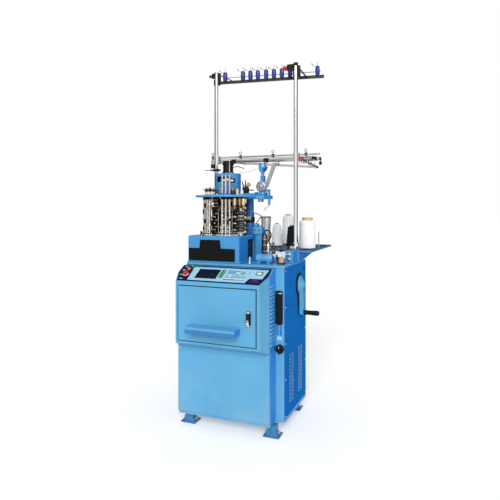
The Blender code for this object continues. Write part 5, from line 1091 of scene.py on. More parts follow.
eyeLead, eyeMiddle = [(0.0, 0.0, 0.004), (0.0, -0.001, 0.014)], (0.0, -0.002, 0.0255)
eyelet = swept(pigtail(eyeLead, guide["ring"], 0.0055, 1.6, -0.5 * math.pi, eyeMiddle), guide["wire"], 6)
eyeClamp = block((-0.0075, -0.0090, -0.0095), (0.0075, 0.0090, 0.0110), 0.002)
eyeScrew = put(turned([(0.0030, 0), (0.0030, 0.0022), (0.0022, 0.0028)], 10), (0, -0.0085, -0.003), front)
guideCoats = []
for place in guide["eyelets"]:
    spot = (place, *guide["thin"])
    guideCoats += [
        (put(eyelet, spot), darkSteel), (put(eyeClamp, spot), blackPlastic), (put(eyeScrew, spot), chrome)
    ]
sleeve = hoop(0.0116, 0.0136, -0.016, 0.016, 20)
hangerPath = [
    (0, -0.0130, 0.0), (0, -0.0230, -0.004), (0, -0.0240, -0.018), (0.004, -0.0210, -0.024),
    (0.006, -0.0240, -0.018), (0.001, -0.0255, -0.014),
]
hanger = swept(eased(hangerPath), guide["wire"], 6)
for place, finish in guide["sleeves"]:
    spot = (place, *guide["main"])
    guideCoats += [(put(sleeve, spot, ((0, 0, 1), (1, 0, 0))), finish), (put(hanger, spot), brushed)]
tubePlug = turned([(0.0088, -0.004), (0.0112, 0.0), (0.0112, 0.003), (0.0070, 0.0042)], 20)
for place, way in ((-0.560, left), (0.186, right)):
    guideCoats.append((put(tubePlug, (place, *guide["main"]), way), blackPlastic))
# right end: a bent wire bracket, an arm with a low eyelet, pigtails on the tube; a rod along the front
endLoop = [
    (0.118, 0.3000, 1.6000), (0.150, 0.2920, 1.6000), (0.160, 0.2900, 1.5920), (0.160, 0.2900, 1.5790),
    (0.150, 0.2920, 1.5690), (0.120, 0.2960, 1.5670), (0.108, 0.3000, 1.5760), (0.108, 0.3060, 1.5980),
]
endArm = [
    (0.184, 0.3095, 1.6080), (0.192, 0.3020, 1.6020), (0.192, 0.2980, 1.5880), (0.191, 0.2970, 1.5700)
]
guideCoats += [
    (swept(eased(endLoop), 0.0022, 8), brushed),
    (swept(eased(endArm), 0.0026, 8), darkSteel),
    (put(eyelet, (0.191, 0.2950, 1.5780)), darkSteel),
    (put(eyeClamp, (0.191, 0.2970, 1.5770)), blackPlastic),
]
curlLead, curlMiddle = [(0.0, -0.0110, 0.004), (0.0, -0.0150, -0.006)], (0.0, -0.0160, -0.0200)
curl = swept(pigtail(curlLead, 0.0090, 0.0060, 1.4, 0.5 * math.pi, curlMiddle), 0.0019, 6)
guideCoats += [(put(curl, (place, *guide["main"])), finish) for place, finish in guide["curls"]]
guideCoats.append((swept([(x, 0.2930, 1.6225) for x in (-0.558, -0.2, 0.150)], 0.0028, 8), brushed))
make("guide_eyelets", guideCoats)

# stop motion on the left pole under the guide frame: black clamp with a cross rod
stopRod = swept([(x, 0.276, 1.553) for x in (-0.600, -0.560, -0.480)], 0.0022, 8)
stopParts = [
    swept([(x, 0.276, 1.553) for x in (-0.556, -0.520, -0.482)], 0.0050, 12),
    block((-0.5345, 0.2675, 1.545), (-0.4995, 0.3025, 1.561), 0.003),
    block((-0.5510, 0.2680, 1.566), (-0.5270, 0.3000, 1.593), 0.003),
]
make("pole_stop", [(stopRod, darkSteel), (joined(stopParts), blackPaint)])
print("guide frame dressed")

# deck, right of the head: small pump on feet, with fins
alongX = ((0, 1, 0), (1, 0, 0))
deckTop = 0.9655
pump = dict(place=(-0.104, 0.105, 0.9965), feet=(-0.134, -0.074), finStart=-0.022, finPitch=0.008, fins=5)
pumpRows = [
    (0.012, -0.052), (0.0235, -0.050), (0.0255, -0.046), (0.0255, -0.030), (0.0242, -0.029),
    (0.0242, 0.020), (0.0255, 0.021), (0.0255, 0.044), (0.0215, 0.050), (0.010, 0.052),
]
pumpX, pumpY, pumpZ = pump["place"]
fin = hoop(0.0235, 0.0262, -0.0010, 0.0010, 32)
finPlaces = [(pumpX + pump["finStart"] + pump["finPitch"] * k, pumpY, pumpZ) for k in range(pump["fins"])]
pumpTrim = [put(fin, place, alongX) for place in finPlaces]
pumpTrim += [block((x - 0.010, 0.078, deckTop), (x + 0.010, 0.132, 0.9800), 0.002) for x in pump["feet"]]
pumpCoats = [(put(turned(pumpRows, 32), pump["place"], alongX), blue), (joined(pumpTrim), headBlue)]

# valve behind it: a block with two fittings, a gauge, a dark actuator, a bent black pipe and a copper one
valve = dict(
    y=0.187, top=1.0185, nuts=1.030, left=-0.112, right=-0.078, actuator=-0.136,
    bands=(1.030, 1.0695, 1.104),
)
fittingRows = [
    (0.0140, 0), (0.0140, 0.010), (0.0110, 0.013), (0.0110, 0.030), (0.0130, 0.032), (0.0130, 0.040),
    (0.0090, 0.044), (0.0060, 0.060), (0.0060, 0.070),
]
fitting = turned(fittingRows, 20)
nutRing = slab(hexagon(0.0125), 0.009, 0.001)
gaugeRows = [
    (0.0150, 0), (0.0165, 0.002), (0.0165, 0.010), (0.0150, 0.012), (0.0142, 0.0105), (0.002, 0.0105)
]
gauge = turned(gaugeRows, 28)
pipeWay = [
    (-0.136, 1.140), (-0.132, 1.158), (-0.117, 1.164), (-0.100, 1.154), (-0.092, 1.134), (-0.099, 1.112),
    (-0.111, 1.098), (-0.112, 1.080),
]
copperWay = [
    (-0.066, 0.1605, 0.996), (-0.066, 0.140, 0.996), (-0.058, 0.128, 0.998), (-0.056, 0.116, 1.004)
]
actuatorRows = [
    (0.0150, 0), (0.0172, 0.003), (0.0172, 0.046), (0.0150, 0.048), (0.0150, 0.056), (0.0172, 0.058),
    (0.0172, 0.108), (0.0130, 0.118), (0.0060, 0.122), (0.0060, 0.128),
]
band = hoop(0.0168, 0.0180, 0, 0.004, 26)
bands = joined([put(band, (valve["actuator"], valve["y"], level)) for level in valve["bands"]])
pumpCoats += [
    (block((-0.158, 0.160, deckTop), (-0.052, 0.214, 1.0180), 0.003), castAlloy),
    (put(fitting, (valve["left"], valve["y"], valve["top"])), chrome),
    (put(fitting, (valve["right"], valve["y"], valve["top"])), darkSteel),
    (put(nutRing, (valve["left"], valve["y"], valve["nuts"])), chrome),
    (put(nutRing, (valve["right"], valve["y"], valve["nuts"])), copper),
    (put(gauge, (-0.090, 0.160, 1.000), front), chrome),
    (swept(eased([(x, valve["y"], z) for x, z in pipeWay], 4), 0.0042, 12), rubber),
    (swept(eased(copperWay), 0.0032, 10), copper),
    (put(turned(actuatorRows, 26), (valve["actuator"], valve["y"], 1.0180)), darkSteel),
    (bands, brushed),
]

# filter on the right: tan bowl under a white head with a knob, ports and a gauge; a white peg by the head
filterMiddle = (0.002, 0.101)
bowlTan = moulded("bowlTan", shade(208, 162, 134), rough=0.35, scale=260.0)
bowl = turned([(0.0120, 0), (0.0150, 0.004), (0.0158, 0.010), (0.0158, 0.034), (0.0145, 0.038)], 26)
filterKnob = turned([(0.0110, 0), (0.0120, 0.001), (0.0120, 0.012), (0.0100, 0.014)], 22)
port = turned([(0.0075, 0), (0.0075, 0.004), (0.0050, 0.006), (0.0050, 0.016)], 16)
ports = joined([put(port, (x, filterMiddle[1], 1.022), way) for x, way in ((-0.019, left), (0.022, right))])
pegRows = [
    (0.0048, 0), (0.0048, 0.006), (0.0034, 0.008), (0.0034, 0.034), (0.0044, 0.036), (0.0044, 0.040),
    (0.002, 0.0415),
]
pumpCoats += [
    (block((-0.020, 0.082, deckTop), (0.024, 0.120, 0.9720), 0.0015), blackPlastic),
    (put(bowl, (*filterMiddle, 0.9720)), bowlTan),
    (block((-0.019, 0.084, 1.0080), (0.022, 0.118, 1.0400), 0.004), whitePlastic),
    (put(filterKnob, (*filterMiddle, 1.0400)), blackPlastic),
    (ports, chrome),
    (put(gauge, (filterMiddle[0], 0.084, 1.024), front), chrome),
    (put(turned(pegRows, 16), (-0.181, 0.050, deckTop)), whitePlastic),
]
make("deck_pump", pumpCoats)

# clamp on the right pole's lug: an alloy block under a plated collar, bolts, and a blue stand below
clamp = dict(
    foot=1.0386, top=1.0600, boltX=0.028, bolts=(0.990, 1.018), screwX=(0.014, 0.042), screwY=0.256
)
lugFront = boxOf("pole_bracket")[0][1] - 0.0002
collarRows = [(0.0127, 0), (0.0190, 0), (0.0200, 0.002), (0.0200, 0.022), (0.0180, 0.024), (0.0127, 0.024)]
standRows = [(0.0130, 0), (0.0165, 0.002), (0.0165, 0.071), (0.0140, 0.0735)]
bolt = joined([nutRing, turned([(0.0060, 0), (0.0060, 0.013), (0.0050, 0.0145)], 14)])
boltPlaces = [(clamp["boltX"], lugFront, level) for level in clamp["bolts"]]
clampCoats = [
    (block((0.006, 0.246, clamp["foot"]), (0.050, 0.312, clamp["top"]), 0.003), castAlloy),
    (put(turned(collarRows, 28, ring=True), (*poleRight, clamp["top"] + 0.0002)), chrome),
    (put(turned(standRows, 30), (0.0405, 0.285, deckTop)), blue),
    (repeated(put(bolt, (0, 0, 0), front), boltPlaces), chrome),
    (repeated(screwHead, [(x, clamp["screwY"], clamp["top"]) for x in clamp["screwX"]]), chrome),
]
make("pole_clamp", clampCoats)

# feet: hold-down bolts with washers on the flared plates
footWasher = turned([(0.0085, 0), (0.0085, 0.0014), (0.0080, 0.0018)], 16)
footBolt = joined([footWasher, put(bolt, (0, 0, 0.0016))])
footCoats = []
for node in nodeFinish[footBlue].split():
    low, high = boxOf(node)
    middle = (low + high) / 2
    spots = [(x, middle[1], 0.0125) for x in (low[0] + 0.012, high[0] - 0.012)]
    footCoats.append((repeated(footBolt, spots), brushed))
make("foot_bolts", footCoats)
print("deck and feet dressed")


# knitting head: everything is measured from the cylinder's axis; base, bed, under and plate are levels
head = dict(
    axis=(-0.378, 0.170), needles=48, base=1.1303, bed=1.1464, under=1.3677, plate=1.3803, drumTop=1.5172
)
axisX, axisY = head["axis"]
onAxis = (axisX, axisY, 0)
base, bed, under, plate = head["base"], head["bed"], head["under"], head["plate"]


# curved bar: a chamfered rectangle of radius and height carried round the axis between two angles
def arcBlock(inner, outer, foot, top, start, end, steps=9, edge=0.0015):
    rows = np.array([
        (inner + edge, foot), (outer - edge, foot), (outer, foot + edge), (outer, top - edge),
        (outer - edge, top), (inner + edge, top), (inner, top - edge), (inner, foot + edge),
    ])
    angle = np.radians(np.linspace(start, end, steps))[::-1, None]
    x = axisX + rows[None, :, 0] * np.cos(angle)
    y = axisY + rows[None, :, 0] * np.sin(angle)
    return lofted(np.stack([x, y, rows[None, :, 1] + 0 * angle], -1))


# place at an angle and radius round the axis
def polar(angle, radius, level=0.0):
    turn = math.radians(angle)
    return (axisX + radius * math.cos(turn), axisY + radius * math.sin(turn), level)


# ways of a part whose z points out from the axis at an angle
def outward(angle):
    turn = math.radians(angle)
    return ((-math.sin(turn), math.cos(turn), 0), (math.cos(turn), math.sin(turn), 0))


# upright stack of collars on one rod: each row is foot, top, radius and finish
def collars(place, rows, sides=18):
    coats = []
    for foot, top, radius, finish in rows:
        edge = min(0.0012, 0.3 * (top - foot))
        rim = [(radius - edge, foot), (radius, foot + edge), (radius, top - edge), (radius - edge, top)]
        coats.append((put(turned(rim, sides), (place[0], place[1], 0)), finish))
    return coats


# gear wheel: a round plate whose rim rises and falls with the teeth
def gear(radius, teeth, thick, depth=0.0022):
    turn = np.arange(teeth * 4) * (2 * np.pi / (teeth * 4))
    rim = radius + depth * np.where(np.arange(teeth * 4) % 4 < 2, 0.0, -1.0)
    return slab(np.column_stack([rim * np.cos(turn), rim * np.sin(turn)]), thick, 0.0003)


# a block measured from the axis and repeated round it at several angles
def blocksAround(low, high, edge, angles):
    return aroundAxis(put(block(low, high, edge, 1), onAxis), angles, head["axis"])


# needles in the cylinder, sinkers between them, and dark caps over the sinkers' outer ends
spokes = np.arange(head["needles"]) * (360 / head["needles"])
stems = blocksAround((0.0468, -0.0004, 1.2700), (0.0478, 0.0004, 1.3090), 0.0002, spokes)
hooks = blocksAround((0.0468, -0.0004, 1.3070), (0.0492, 0.0004, 1.3096), 0.0003, spokes)
make("needles", [(stems, chrome), (hooks, chrome)], "cylinder")
sinkers = dict(foot=1.2969, top=1.3078, caps=((150, 200), (255, 292), (330, 380)))
blades = blocksAround((0.057, -0.0005, sinkers["foot"]), (0.094, 0.0005, 1.3012), 0.0002, spokes + 3.75)
sinkerCoats = [
    (blades, brushed),
    (put(hoop(0.0955, 0.1040, sinkers["foot"], sinkers["top"], 64), onAxis), darkSteel),
]
sinkerCoats += [(arcBlock(0.070, 0.0950, 1.3014, 1.3075, *span), darkSteel) for span in sinkers["caps"]]
make("sinkers", sinkerCoats)

# cam boxes on the bed, with screws, and a bright ring round the bed's foot: start, end, top, finish
camBoxes = [
    (268, 288, 1.196, brushed), (290, 304, 1.188, darkSteel), (338, 362, 1.206, blackPaint),
    (2, 30, 1.196, darkSteel), (40, 75, 1.204, blackPaint), (85, 120, 1.196, darkSteel),
    (130, 170, 1.204, blackPaint),
]
bedRing = [(0.1185, base), (0.1255, base), (0.1255, 1.1360), (0.1240, 1.1375), (0.1185, 1.1375)]
rimRing = [(0.0905, bed), (0.1130, bed), (0.1130, 1.1510), (0.1110, 1.1530), (0.0905, 1.1530)]
camCoats = [
    (put(turned(bedRing, 72, ring=True), onAxis), chrome),
    (put(turned(rimRing, 72, ring=True), onAxis), brushed),
]
for start, end, top, finish in camBoxes:
    camCoats.append((arcBlock(0.0665, 0.0895, bed, top, start, end), finish))
    camCoats.append((arcBlock(0.0640, 0.0920, top + 0.0002, top + 0.0060, start + 2, end - 2), chrome))
    for angle in (start + 4, end - 4):
        camCoats.append((put(screwHead, polar(angle, 0.0895, (1.158 + top) / 2), outward(angle)), chrome))
        camCoats.append((put(screwHead, polar(angle, 0.078, top + 0.0062)), brushed))
make("cam_boxes", camCoats)

# selector levers in the blocks' combs, a case on each block and springs down its flanks
selectors = dict(
    angles=(200, 250, 320), first=1.1653, pitch=0.020, count=6, swing=4, flank=13.5, springs=0.1175
)
lever = block((-0.0130, -0.0030, 0.0), (0.0130, 0.0030, 0.0085), 0.0008, 1)
tip = block((-0.0050, -0.0042, 0.0075), (0.0050, 0.0042, 0.0125), 0.0010, 1)
case = block((-0.0165, 0.0, 0.0), (0.0165, 0.0240, 0.0090), 0.002)
spring = swept(helix(0.0030, 0.110, 26, 8), 0.0007, 5)
springRows = [(bed, 1.2900, 0.0018, brushed), (1.2720, 1.2790, 0.0050, blackPlastic)]
selectorCoats = []
for angle in selectors["angles"]:
    for index in range(selectors["count"]):
        level = selectors["first"] + index * selectors["pitch"]
        swing = angle + (selectors["swing"] if index % 2 else -selectors["swing"])
        selectorCoats.append((put(lever, polar(swing, 0.1085, level), outward(swing)), brushed))
        tipFinish = brass if index % 2 else chrome
        selectorCoats.append((put(tip, polar(swing, 0.1090, level), outward(swing)), tipFinish))
    selectorCoats.append((put(case, polar(angle, 0.0860, 1.2850), outward(angle)), darkSteel))
    for swing in (angle - selectors["flank"], angle + selectors["flank"]):
        selectorCoats.append((put(spring, polar(swing, selectors["springs"], 1.160)), chrome))
        selectorCoats += collars(polar(swing, selectors["springs"]), springRows, 10)
make("selector_levers", selectorCoats)
print("head filled")

# yarn carousel under the plate: a dark hub round the dial's shaft, pins on its rim and slanted yarn tubes
carousel = dict(pins=18, pinRadius=0.0485, tubes=(180, 193, 206, 288, 338, 352, 8, 30, 60, 90, 120, 150))
hubRows = [
    (0.0130, 1.3180), (0.0240, 1.3180), (0.0300, 1.3400), (0.0480, 1.3500), (0.0540, 1.3560),
    (0.0540, under), (0.0130, under),
]
carouselCoats = [(put(turned(hubRows, 48, ring=True), onAxis), darkSteel)]
for angle in np.arange(carousel["pins"]) * (360 / carousel["pins"]):
    carouselCoats += collars(polar(angle, carousel["pinRadius"]), [(1.3400, 1.3540, 0.0036, brass)], 10)
for index, angle in enumerate(carousel["tubes"]):
    tubePath = [polar(angle, 0.100, under), polar(angle, 0.094, 1.3500), polar(angle, 0.066, 1.3180)]
    carouselCoats.append((swept(tubePath, (0.0046, 0.0036, 0.0024), 10), cream if index % 3 else chrome))
make("yarn_carousel", carouselCoats)


# gears on one post: each row is level, radius, teeth, thickness and finish
def gearStack(place, rows):
    return [
        (put(gear(radius, teeth, thick), (place[0], place[1], level)), finish)
        for level, radius, teeth, thick, finish in rows
    ]


# feeder gears under the plate at the front left, and five stitch adjusters with caps on the bed's rim
feederGears = [
    (1.3540, 0.0170, 22, 0.0110, blackPaint), (1.3470, 0.0120, 16, 0.0060, brass),
    (1.3340, 0.0175, 22, 0.0100, blackPaint), (1.3280, 0.0130, 16, 0.0050, chrome),
    (1.3160, 0.0170, 22, 0.0100, blackPaint), (1.3040, 0.0125, 16, 0.0070, brass),
]
feederPost = polar(238, 0.0927)
feederStack = collars(feederPost, [(1.3000, under, 0.0060, darkSteel)]) + gearStack(feederPost, feederGears)
make("feeder_gears", feederStack)
adjusterCoats = []
for index, angle in enumerate((269, 277, 285, 293, 301)):
    capFinish = (cream, chrome, brass)[index % 3]
    rows = [
        (1.1531, 1.1660, 0.0062, chrome), (1.1661, 1.1720, 0.0048, darkSteel),
        (1.1721, 1.1860, 0.0058, capFinish),
    ]
    adjusterCoats += collars(polar(angle, 0.1015), rows, 14)
make("stitch_adjusters", adjusterCoats)

# yarn finger levers that hang from the plate round the back half, in two rows: radius, start, count
fingers = dict(
    wide=0.0042, deep=0.0050, foot=1.3079, top=1.3678, pitch=8.0,
    rows=((0.1000, 8.0, 22), (0.0840, 12.0, 21)),
)
fingerCoats = []
for radius, start, count in fingers["rows"]:
    angles = np.arange(count) * fingers["pitch"] + start
    low = (radius - fingers["deep"], -fingers["wide"], fingers["foot"])
    high = (radius + fingers["deep"], fingers["wide"], fingers["top"])
    toeLow = (radius - 0.0120, -0.0015, fingers["foot"] + 0.002)
    toeHigh = (radius - 0.0040, 0.0015, fingers["foot"] + 0.012)
    fingerCoats += [
        (blocksAround(low, high, 0.0012, angles[::2]), blackPaint),
        (blocksAround(low, high, 0.0012, angles[1::2]), darkSteel),
        (blocksAround(toeLow, toeHigh, 0.0006, angles), brass),
    ]
make("finger_levers", fingerCoats)

# cam shells on the cam boxes, between the selectors: dark curved plates with rows of levers, pins, screws
camShells = dict(
    inner=0.0665, outer=0.0830, top=1.2900, spans=((262, 308, 1.2018), (336, 374, 1.2120)), pitch=0.0165,
    step=6.0,
)
bits = [
    (block((-0.0045, -0.0018, 0.0), (0.0045, 0.0018, 0.0100), 0.0006, 1), chrome),
    (turned([(0.0028, 0), (0.0028, 0.0075), (0.0020, 0.0085)], 10), brass),
    (block((-0.0055, -0.0036, 0.0), (0.0055, 0.0036, 0.0060), 0.0008, 1), blackPaint),
    (screwHead, chrome),
    (block((-0.0020, -0.0060, 0.0), (0.0020, 0.0060, 0.0090), 0.0006, 1), brushed),
    (block((-0.0035, -0.0020, 0.0), (0.0035, 0.0050, 0.0075), 0.0008, 1), darkSteel),
]
shellCoats = []
for start, end, foot in camShells["spans"]:
    plateArc = arcBlock(camShells["inner"], camShells["outer"], foot, camShells["top"], start, end)
    shellCoats.append((plateArc, blackPaint))
    for row, level in enumerate(np.arange(foot + 0.012, camShells["top"] - 0.006, camShells["pitch"])):
        for column, angle in enumerate(np.arange(start + 4, end - 3, camShells["step"]) + 1.5 * (row % 2)):
            part, finish = bits[(3 * row + 5 * column + row * column) % len(bits)]
            spot = polar(angle, camShells["outer"] - 0.0004, level)
            shellCoats.append((put(part, spot, outward(angle)), finish))
make("cam_shells", shellCoats)

# black block in the head base's side window, painted shade of the housing's inside, with the drive gear
# that shows there
window = dict(face=-0.2400, gear=(0.1950, 1.0400), radius=0.042, teeth=40, thick=0.0050)
windowShade = block((-0.2597, 0.1403, 0.9843), (window["face"], 0.2497, 1.1037), 0.0010, 1)
driveGear = gear(window["radius"], window["teeth"], window["thick"])
gearHub = turned([(0.0140, 0), (0.0140, 0.0035), (0.0100, 0.0045)], 24)
windowCoats = [
    (windowShade, blackPlastic),
    (put(driveGear, (window["face"] + 0.0001, *window["gear"]), right), darkSteel),
    (put(gearHub, (window["face"] + 0.0001 + window["thick"], *window["gear"]), right), blackPaint),
]
make("window_shade", windowCoats)

# collars on the round posts, on the head base and under the plate, and more on some of them
posts = dict(radius=0.155, bore=0.0061, angles=(218, 228, 238, 247, 281, 289, 298))
postEnds = [
    (base, 1.1390, 0.0095, chrome), (1.1400, 1.1440, 0.0078, blackPaint),
    (1.3520, under, 0.0085, blackPaint),
]
postSleeves = {
    218: [
        (1.1600, 1.1850, 0.0088, blackPaint), (1.2620, 1.2900, 0.0088, blackPaint),
        (1.2910, 1.2950, 0.0105, brass),
    ],
    228: [
        (1.2050, 1.2330, 0.0100, blackPaint), (1.2340, 1.2390, 0.0115, chrome),
        (1.3020, 1.3300, 0.0085, blackPaint),
    ],
    247: [(1.2950, 1.3050, 0.0100, brass), (1.1900, 1.2040, 0.0095, chrome)],
    281: [(1.2500, 1.2600, 0.0090, chrome)],
    298: [(1.2200, 1.2380, 0.0095, blackPaint), (1.2390, 1.2440, 0.0110, chrome)],
}
postCoats = []
for angle in posts["angles"]:
    for foot, top, radius, finish in postEnds + postSleeves.get(angle, []):
        collar = hoop(posts["bore"], radius, foot, top, 20)
        postCoats.append((put(collar, polar(angle, posts["radius"])), finish))
make("post_collars", postCoats)

# yarn striper rods at the front left: thin rods with coloured sleeves between the base and the plate
stripers = dict(
    radius=0.138, angles=(238, 246), studs=((-0.5090, 0.050), (-0.4310, 0.046), (-0.4960, 0.036))
)
sleeveRows = [
    (base, 1.1420, 0.0085, chrome), (1.1421, under, 0.0032, brushed), (1.1500, 1.1640, 0.0090, blackPaint),
    (1.1900, 1.2240, 0.0072, blackPaint), (1.2250, 1.2300, 0.0100, chrome),
    (1.2460, 1.2860, 0.0080, chrome), (1.2870, 1.2910, 0.0105, brushed),
    (1.3080, 1.3180, 0.0085, redPlastic), (1.3300, 1.3600, 0.0098, cream), (1.3605, under, 0.0070, brass),
]
studRows = [
    (base, 1.1380, 0.0080, brass), (1.1381, 1.1540, 0.0050, blackPaint), (1.1541, 1.1580, 0.0065, chrome)
]
striperCoats = []
for angle in stripers["angles"]:
    striperCoats += collars(polar(angle, stripers["radius"]), sleeveRows)
for place in stripers["studs"]:
    striperCoats += collars(place, studRows)
make("striper_rods", striperCoats)

# solenoids under the plate on the right: pale brass bobbins with brass rims and plated plungers
solenoids = [
    ((-0.299, 0.090), 0.0130), ((-0.281, 0.134), 0.0098), ((-0.251, 0.118), 0.0130),
    ((-0.322, 0.060), 0.0090),
]
solenoidCoats = []
for place, wide in solenoids:
    rows = [
        (1.3600, under, wide + 0.0016, darkSteel), (1.3180, 1.3595, wide, paleBrass),
        (1.3120, 1.3175, wide + 0.0012, brass), (1.3020, 1.3115, 0.6 * wide, brass),
        (1.2960, 1.3015, 0.4 * wide, chrome),
    ]
    solenoidCoats += collars(place, rows, 22)
make("solenoids", solenoidCoats)

# idler gears right of the cylinder on a post of their own, a washer on each, and a bolted bar beside them
idler = dict(
    post=(-0.262, 0.104), bolts=(1.150, 1.175, 1.205, 1.240, 1.270, 1.300), brassBolts=(1.175, 1.270)
)
idlerPost = [
    (base, 1.1420, 0.0140, chrome), (1.1421, 1.2990, 0.0070, darkSteel), (1.2840, 1.2925, 0.0120, chrome),
    (1.2930, 1.3000, 0.0090, brushed),
]
idlerGears = [
    (1.1425, 0.0235, 26, 0.0095, brushed), (1.1560, 0.0225, 26, 0.0130, darkSteel),
    (1.1725, 0.0200, 22, 0.0110, blackPaint), (1.1865, 0.0245, 28, 0.0110, darkSteel),
    (1.1995, 0.0180, 20, 0.0105, darkSteel), (1.2130, 0.0260, 30, 0.0120, blackPaint),
    (1.2265, 0.0185, 20, 0.0060, brass), (1.2340, 0.0215, 24, 0.0110, darkSteel),
    (1.2465, 0.0170, 18, 0.0080, brushed), (1.2560, 0.0250, 28, 0.0110, blackPaint),
    (1.2700, 0.0220, 24, 0.0110, darkSteel),
]
gearWasher = turned([(0.0110, 0), (0.0110, 0.0016), (0.0095, 0.0024)], 20)
washerPlaces = [(*idler["post"], level + thick) for level, _, _, thick, _ in idlerGears]
idlerCoats = collars(idler["post"], idlerPost) + gearStack(idler["post"], idlerGears)
idlerCoats.append((repeated(gearWasher, washerPlaces), chrome))
idlerCoats.append((block((-0.2590, 0.1410, base), (-0.2440, 0.1560, 1.3300), 0.002), blackPaint))
for level in idler["bolts"]:
    finish = brass if level in idler["brassBolts"] else chrome
    idlerCoats.append((put(bolt, (-0.2515, 0.1412, level), front), finish))
make("idler_gears", idlerCoats)

# column clamp with a cream comb and a black wire bail, and a blue bracket with a leg on the column's foot
column = dict(
    place=(-0.272, 0.280, 0), comb=(-0.290, -0.258), teeth=5, tooth=0.0045, screws=(-0.222, -0.192)
)
columnRing = [
    (0.0252, 1.2080), (0.0310, 1.2080), (0.0320, 1.2100), (0.0320, 1.2380), (0.0310, 1.2400),
    (0.0252, 1.2400),
]
comb = []
for x in np.linspace(*column["comb"], column["teeth"]):
    comb.append(block((x, 0.2400, 1.2240), (x + column["tooth"], 0.2492, 1.2460), 0.0008, 1))
bail = [
    (-0.2420, 0.2700, 1.2300), (-0.2380, 0.2620, 1.2660), (-0.2300, 0.2600, 1.2700),
    (-0.1880, 0.2600, 1.2520), (-0.1860, 0.2600, 1.2470), (-0.2260, 0.2600, 1.1940),
    (-0.2340, 0.2640, 1.1960), (-0.2430, 0.2690, 1.2140),
]
columnSide = boxOf("support_column")[1][0]
bracket = block((columnSide + 0.0003, 0.2380, 1.1306), (-0.1760, 0.3020, 1.1800), 0.006, 3)
rib = block((columnSide + 0.0003, 0.2480, 1.1790), (columnSide + 0.0260, 0.2920, 1.2020), 0.006, 3)
bracketScrews = [(x, 0.2381, 1.160) for x in column["screws"]]
columnCoats = [
    (put(turned(columnRing, 36, ring=True), column["place"]), blackPaint),
    (joined(comb), cream),
    (block((-0.294, 0.2430, 1.2140), (-0.250, 0.2510, 1.2230), 0.0012), darkSteel),
    (swept(eased(bail, 2), 0.0028, 8), blackPaint),
    (joined([bracket, rib]), blue),
    (block((-0.2237, 0.2460, deckTop), (-0.1800, 0.2960, 1.1306), 0.004), headBlue),
    (repeated(put(screwHead, (0, 0, 0), front), bracketScrews), darkSteel),
    (put(gauge, (-0.200, 0.270, 1.1798)), castAlloy),
]
make("column_fittings", columnCoats)

# on the plate: yarn brakes with black caps and arms on the left: x, y, extra height
brakes = [(-0.500, 0.105, 0.0), (-0.466, 0.088, 0.004), (-0.436, 0.078, -0.003)]
brakeCoats = []
for x, y, tall in brakes:
    rows = [
        (plate, 1.3850, 0.0105, brass), (1.3851, 1.4030, 0.0088, cream),
        (1.4031, 1.4190 + tall, 0.0108, blackPlastic), (1.4191 + tall, 1.4290 + tall, 0.0030, blackPaint),
    ]
    brakeCoats += collars((x, y), rows)
    arm = eased([(x, y - 0.004, 1.4120), (x - 0.012, y - 0.014, 1.4230), (x - 0.017, y - 0.018, 1.4160)], 2)
    brakeCoats.append((swept(arm, 0.0018, 8), blackPaint))
# a brake block at the front with a stud on it, and small guides beside it
brakeCoats.append((block((-0.322, 0.056, plate), (-0.286, 0.080, 1.4130), 0.003), darkSteel))
plateStuds = {
    (-0.270, 0.068): [
        (plate, 1.3870, 0.0110, chrome), (1.3871, 1.4150, 0.0085, cream), (1.4151, 1.4200, 0.0100, brass)
    ],
    (-0.340, 0.048): [(plate, 1.3960, 0.0070, whitePlastic), (1.3961, 1.4010, 0.0085, chrome)],
    (-0.304, 0.068): [(1.4131, 1.4200, 0.0080, chrome)],
    (-0.248, 0.088): [
        (plate, 1.3850, 0.0110, brass), (1.3851, 1.4080, 0.0095, whitePlastic),
        (1.4081, 1.4120, 0.0105, chrome),
    ],
    (-0.366, 0.042): [
        (plate, 1.3900, 0.0090, blackPaint), (1.3901, 1.4140, 0.0060, brass),
        (1.4141, 1.4200, 0.0085, chrome),
    ],
    (-0.392, 0.040): [
        (plate, 1.3880, 0.0085, chrome), (1.3881, 1.4060, 0.0055, darkSteel),
        (1.4061, 1.4110, 0.0080, blackPaint),
    ],
}
for place, rows in plateStuds.items():
    brakeCoats += collars(place, rows)
make("yarn_brakes", brakeCoats)

# black guide cluster on the plate's right: a block with three tapered horns, a brass wheel and a side pin
cluster = dict(
    horns=(
        ((-0.258, 0.146, 1.426), (-0.272, 0.140, 1.474)),
        ((-0.250, 0.150, 1.426), (-0.247, 0.142, 1.478)),
        ((-0.242, 0.150, 1.424), (-0.232, 0.146, 1.462)),
    ),
    hornRadii=(0.0050, 0.0045, 0.0034, 0.0016), wheel=(-0.222, 0.1400, 1.4440),
)
sidePin = [(-0.240, 0.140, 1.412), (-0.215, 0.138, 1.411), (-0.190, 0.136, 1.410)]
clusterCoats = [(block((-0.268, 0.136, 1.3923), (-0.232, 0.170, 1.4280), 0.003), blackPaint)]
for start, end in cluster["horns"]:
    clusterCoats.append((swept(np.linspace(start, end, 4), cluster["hornRadii"], 8), blackPaint))
clusterCoats += [
    (put(gear(0.0135, 16, 0.0080), cluster["wheel"], front), brass),
    (swept([(-0.240, 0.150, 1.420), (-0.228, 0.147, 1.438), cluster["wheel"]], 0.0034, 8), blackPaint),
    (swept(sidePin, 0.0036, 10), blackPaint),
    (repeated(screwHead, [(-0.262, 0.142, 1.4280), (-0.238, 0.164, 1.4280)]), chrome),
]
make("guide_cluster", clusterCoats)

